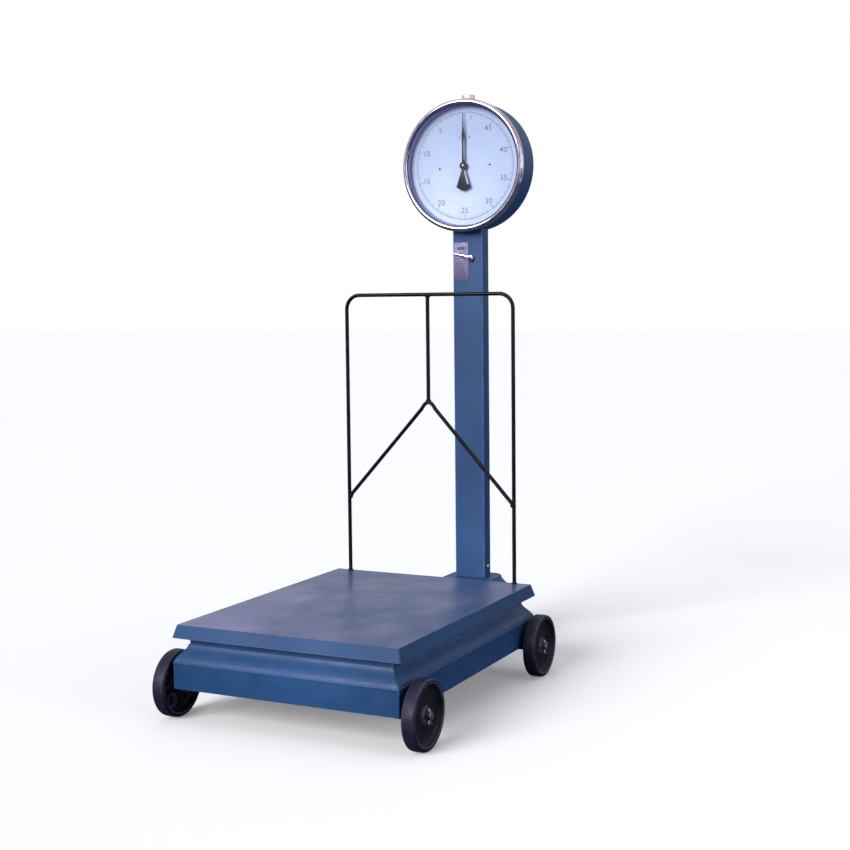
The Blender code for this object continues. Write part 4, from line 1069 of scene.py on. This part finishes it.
def build_dial():
    """Dished enamel dial with its circle, graduations, numerals and fixing rivets."""
    centre = dial_centre()
    face = middle("dial_plate").y - centre.y - 0.0006
    dish = [(0.0042, -face), (0.1338, -face), (0.135, -face + 0.0006), (0.1355, -face + 0.0018),
        (0.1361, -0.01), (0.1365, -0.0094), (0.1373, -0.0094), (0.1373, -face - 0.0012),
        (0.0042, -face - 0.0012)]
    place(lathe("dial_dish", dish, True, 144, DIAL_ENAMEL, centre, TO_FRONT), "base", "dial_enamel",
        "dial_plate")
    plane = centre + Vector((0, face, 0))

    bm = bmesh.new()
    for radius, width in ((SCALE_RADIUS, 0.0008), (0.1282, 0.0009)):
        steps = 180
        rings = []
        for reach, height in ((radius, -PRINT), (radius + width, -PRINT), (radius + width, PRINT),
                (radius, PRINT)):
            rings.append(lift(circle(reach, steps), height, plane, TO_FRONT))
        add_skin(bm, rings, loop=True)
    for i in range(UNITS * 5):
        if i % 25 == 0:
            length, width = 0.01, 0.0011
        elif i % 5 == 0:
            length, width = 0.0055, 0.0008
        else:
            length, width = 0.0028, 0.00035
        angle = pi / 2 + 2 * pi * i / (UNITS * 5)
        out = Matrix.Rotation(angle, 3, "Z")
        outline = [(SCALE_RADIUS - length, -width / 2), (SCALE_RADIUS + 0.0002, -width / 2),
            (SCALE_RADIUS + 0.0002, width / 2), (SCALE_RADIUS - length, width / 2)]
        add_skin(bm, [lift(outline, -PRINT, plane, TO_FRONT @ out),
            lift(outline, PRINT, plane, TO_FRONT @ out)])
    place(mesh_object("dial_graduations", bm, DIAL_INK), "base", "dial_enamel")

    # Painted shade: a lilac ring at the dial's edge stands in for the shade band cast by the bezel's lip, all the
    # way round.
    rings = [lift(circle(reach, 144), height, plane, TO_FRONT) for reach, height
        in ((0.129, -PRINT), (0.1334, -PRINT), (0.1334, PRINT), (0.129, PRINT))]
    place(skin("dial_edge_shade", rings, BEZEL_SHADE_LILAC, loop=True), "base", "dial_enamel")
    for value in range(0, UNITS, 5):
        build_numeral(value, plane)
    rivet = [(0.0, 0.0011), (0.0014, 0.0009), (0.0022, 0.0004), (0.0023, -0.0002), (0.0, -0.0002)]
    for name, a, b in (("left", -0.06, -0.004), ("right", 0.06, 0.0)):
        spot = plane + Vector((a, 0, b))
        place(lathe("dial_rivet_" + name, rivet, False, 24, OXIDE, spot, TO_FRONT), "base", "steel")
    dot = [(0.0, 0.0006), (0.001, 0.0005), (0.0014, 0.0002), (0.0014, -0.0002), (0.0, -0.0002)]
    for name, a in (("left", -0.012), ("right", 0.012)):
        spot = plane + Vector((a, 0, 0.062))
        place(lathe("dial_pin_" + name, dot, False, 20, OXIDE, spot, TO_FRONT), "base", "steel")


def build_numeral(value, plane):
    """One upright numeral of the dial, the zero set small beside the pointer's tip."""
    words = bpy.data.curves.new(f"numeral_{value}", "FONT")
    words.body = str(value)
    words.align_x = "CENTER"
    words.align_y = "CENTER"
    words.size = NUMERAL_HEIGHT * 1.38 if value else NUMERAL_HEIGHT * 0.75
    words.extrude = PRINT
    words.offset = 0.0001
    words.space_character = 1.05
    angle = pi / 2 + 2 * pi * value / UNITS
    reach = NUMERAL_RADIUS
    spot = Vector((reach * cos(angle), 0, reach * sin(angle)))
    if value == 0:
        spot = Vector((0.0165, 0, 0.104))
    drawing = new_object(f"numeral_{value}", words)
    drawing.matrix_world = Matrix.Translation(plane + spot) @ TO_FRONT.to_4x4()
    bpy.context.view_layer.update()
    graph = bpy.context.evaluated_depsgraph_get()
    mesh = bpy.data.meshes.new_from_object(drawing.evaluated_get(graph))
    bm = bmesh.new()
    bm.from_mesh(mesh)
    bm.transform(drawing.matrix_world)
    bpy.data.objects.remove(drawing, do_unlink=True)
    place(mesh_object(f"dial_numeral_{value}", bm, NUMERAL_INK), "base", "dial_enamel")


def build_pointer():
    """Pointer with ring, lozenge and bell tail, on a spindle with a bright cap."""
    centre = dial_centre()
    depth = middle("pointer").y - centre.y
    hub = centre + Vector((0, depth, 0))
    hub.x = middle("pointer").x
    half = POINTER_THICKNESS / 2

    def leaf(name, right, rounding=0.0004):
        outline = [(a, b) for a, b in reversed(right)] + [(-a, b) for a, b in right if a > 0]
        return slab(name, counter_clockwise(outline), 2 * half, rounding, BLACK_ENAMEL, hub, TO_FRONT)

    tip = leaf("pointer_tip", [(0.0004, 0.113), (0.001, 0.1), (0.0013, 0.0885)], rounding=0.0002)
    shaft = [(0.0014, 0.0835), (0.0022, 0.076), (0.0036, 0.065), (0.003, 0.056), (0.0024, 0.035),
        (0.003, 0.01), (0.003, 0.005)]
    blade = leaf("pointer_shaft", shaft)
    ring = [(0.0019, 0.0), (0.0022, 0.0007), (0.0032, 0.0007), (0.0035, 0.0), (0.0032, -0.0007),
        (0.0022, -0.0007)]
    eye = lathe("pointer_ring", ring, True, 40, BLACK_ENAMEL, hub + Vector((0, 0, 0.0862)), TO_FRONT)
    boss = [(0.0023, half + 0.0003), (0.008, half + 0.0003), (0.0087, half - 0.0004),
        (0.0087, -half + 0.0004), (0.008, -half), (0.0023, -half)]
    # Painted highlight: a pale strip along the shaft.
    build_strip("pointer_shaft_highlight", hub, half, (0.0022, 0.013), (0.0021, 0.056), 0.0008)
    disc = lathe("pointer_boss", boss, True, 48, BLACK_ENAMEL, hub, TO_FRONT)
    tail = build_tail(hub, half)
    place(blade, "pointer", "black_paint", "pointer")
    for piece in (tip, eye, disc, tail):
        place(piece, "pointer", "black_paint")
    cap = [(0.0, -0.0096), (0.0014, -0.0098), (0.0026, -0.0103), (0.0034, -0.0111), (0.0036, -0.0117),
        (0.002, -0.0117), (0.002, -0.073), (0.0, -0.073)]
    place(lathe("pointer_spindle_pin", cap, False, 40, CHROME, centre, TO_FRONT), "pointer", "steel",
        "pointer_spindle")


def counter_clockwise(outline):
    """An outline, turned round if it runs clockwise."""
    pairs = zip(outline, outline[1:] + outline[:1])
    area = sum(a[0] * b[1] - b[0] * a[1] for a, b in pairs)
    return outline if area > 0 else outline[::-1]


def build_strip(name, hub, half, start, end, reach):
    """A pale strip just proud of the pointer's face, between two points: a painted highlight."""
    first, last = Vector(start), Vector(end)
    along = (last - first).normalized()
    across = Vector((along.y, -along.x))
    rings = []
    for share, part in ((0.0, 0.35), (0.08, 0.75), (0.9, 1.0), (1.0, 0.5)):
        spot = first.lerp(last, share)
        width = across * reach * part
        row = [(spot - width, 0.0), (spot - width * 0.4, 0.0005), (spot + width * 0.7, 0.0003),
            (spot + width, 0.0)]
        rings.append([hub + TO_FRONT @ Vector((p.x, p.y, half - 0.00005 + rise)) for p, rise in row])
    place(skin(name, rings, POINTER_HIGHLIGHT_PALE), "pointer", "dial_enamel")


def build_tail(hub, half):
    """Bell-shaped counterweight, with a pale strip along its right side as a painted highlight."""
    edge = [(0.0034, -0.007), (0.006, -0.015), (0.0115, -0.0315), (0.0165, -0.0458)]
    bottom = [(0.0158, -0.047), (0.008, -0.0508), (0.0012, -0.054)]
    right = edge + bottom
    outline = right + [(-a, b) for a, b in reversed(right)]
    tail = slab("pointer_tail", counter_clockwise(outline), 2 * half, 0.0005, BLACK_ENAMEL, hub,
        TO_FRONT)
    # Painted highlight: a pale strip along the tail's right side.
    build_strip("pointer_tail_highlight", hub, half, (0.0032, -0.0105), (0.0116, -0.041), 0.0024)
    return tail


def build_knob():
    """Knurled brass zero knob with its stem."""
    node = "zero_knob"
    top = high(node).z
    radius = high(node).x
    seat = dial_centre().z + high("dial_case").x
    foot = seat + 0.0032
    bottom = low(node).z

    def knurl(angle, height):
        if foot + 0.0012 < height < top - 0.0012:
            return 1 - 0.018 * (1 + cos(30 * angle))
        return 1.0

    profile = [(0.0, top - 0.0004), (0.005, top - 0.0004), (0.0056, top), (radius - 0.0016, top),
        (radius - 0.0006, top - 0.0005), (radius - 0.0002, top - 0.0011), (radius, top - 0.0014),
        (radius, foot + 0.0075), (radius - 0.0012, foot + 0.0068), (radius - 0.0012, foot + 0.0058),
        (radius, foot + 0.0052), (radius, foot + 0.0014), (radius - 0.0008, foot + 0.0004),
        (radius - 0.0018, foot), (0.007, foot), (0.007, seat + 0.001), (0.003, seat + 0.001),
        (0.003, bottom), (0.0, bottom)]
    spot = Vector((0, middle(node).y, 0))
    knob = lathe("zero_knob_turned", profile, False, 180, BRASS, spot, FLAT, knurl)
    place(knob, "zero_knob", "brass", node)


# ---------- carried-over CAD

def dress_nodes():
    """Give every CAD node its finish. The nodes that pieces replace don't show."""
    finish = {"cast_iron": CAST_IRON, "steel": STEEL, "spring_steel": SPRING_STEEL, "brass": BRASS,
        "blue_paint": BLUE_ENAMEL, "platform_paint": PLATFORM_ENAMEL, "wheel_iron": WHEEL_IRON,
        "black_paint": BLACK_ENAMEL, "chrome": CHROME, "dial_enamel": DIAL_ENAMEL, "glass": GLASS,
        "label_metal": LABEL_METAL}
    slots = {part["node"]: part["material_slot"] for part in frame["record"]["subparts"]}
    for name, obj in NODES.items():
        look = finish[slots[name]]
        if obj.material_slots:
            for entry in obj.material_slots:
                entry.material = look
        else:
            obj.data.materials.append(look)


# ---------- set and light

def build_floor():
    """A wide pale floor."""
    bm = bmesh.new()
    bmesh.ops.create_grid(bm, x_segments=2, y_segments=2, size=30.0)
    mesh = bpy.data.meshes.new("studio_floor")
    bm.to_mesh(mesh)
    bm.free()
    mesh.materials.append(floor_paint())
    floor = new_object("studio_floor", mesh)


def add_light(name, kind, energy, colour, spot, target, **settings):
    """A lamp at a spot, facing a target."""
    lamp = bpy.data.lights.new(name, kind)
    lamp.energy = energy
    lamp.color = colour
    for key, value in settings.items():
        setattr(lamp, key, value)
    obj = new_object(name, lamp)
    obj.location = spot
    obj.rotation_euler = (Vector(target) - Vector(spot)).to_track_quat("-Z", "Y").to_euler()


def light_studio():
    """Soft key from the upper left, an overhead wash, a weak fill and a strip on the right."""
    scale_middle = (0, 0, 0.6)
    for name, energy, colour, spot, spread in (("key", 3.5, (1.0, 0.98, 0.98), (-0.9, -2.9, 2.0), 34),
            ("overhead", 0.35, (0.97, 0.97, 1.0), (-0.3, 0.5, 4.0), 60),
            ("right_fill", 0.55, (0.9, 0.93, 1.0), (3.0, -0.4, 1.0), 50)):
        add_light(name, "SUN", energy, colour, spot, scale_middle, angle=radians(spread))
    add_light("right_strip", "AREA", 9.0, (0.92, 0.95, 1.0), (2.6, -0.85, 0.9), (0, 0.35, 0.8),
        shape="RECTANGLE", size=0.16, size_y=1.7)

    world = bpy.data.worlds.new("studio")
    bpy.context.scene.world = world
    world.use_nodes = True
    tree = world.node_tree
    path = tree.nodes.new("ShaderNodeLightPath")
    surface = None
    for colour, strength, ray in (((0.86, 0.91, 1.0), 0.32, None),
            ((0.88, 0.89, 1.0), 0.72, "Is Glossy Ray"), ((1.0, 1.0, 1.0), 1.0, "Is Camera Ray")):
        sky = tree.nodes.new("ShaderNodeBackground")
        sky.inputs["Color"].default_value = (*colour, 1.0)
        sky.inputs["Strength"].default_value = strength
        if ray:
            mix = tree.nodes.new("ShaderNodeMixShader")
            tree.links.new(path.outputs[ray], mix.inputs[0])
            tree.links.new(surface, mix.inputs[1])
            tree.links.new(sky.outputs[0], mix.inputs[2])
            sky = mix
        surface = sky.outputs[0]
    tree.links.new(surface, tree.nodes["World Output"].inputs["Surface"])


def add_camera():
    """Camera a little above the platform's level, in front and to the right."""
    turn, tilt, roll = (radians(v) for v in (CAMERA_TURN, CAMERA_TILT, CAMERA_ROLL))
    ahead = Vector((-sin(turn) * cos(tilt), cos(turn) * cos(tilt), -sin(tilt)))
    side = Vector((cos(turn), sin(turn), 0))
    above = side.cross(ahead)
    right = side * cos(roll) + above * sin(roll)
    top = above * cos(roll) - side * sin(roll)
    lens = bpy.data.cameras.new("camera")
    lens.lens = CAMERA_LENS
    lens.sensor_width = 36.0
    obj = new_object("camera", lens)
    turned = Matrix((right, top, -ahead)).transposed().to_4x4()
    obj.matrix_world = Matrix.Translation(CAMERA_PLACE) @ turned
    bpy.context.scene.camera = obj


add_camera()
build_floor()
light_studio()
build_base()
for end in ("front", "rear"):
    build_axle(end)
    for side, sign in SIDES:
        build_wheel(end, side, sign)
build_platform()
build_guard()
build_column()
build_label()
build_lock()
build_case()
build_bezel()
build_dial()
build_pointer()
build_knob()
dress_nodes()
bpy.context.scene.view_settings.view_transform = "Standard"
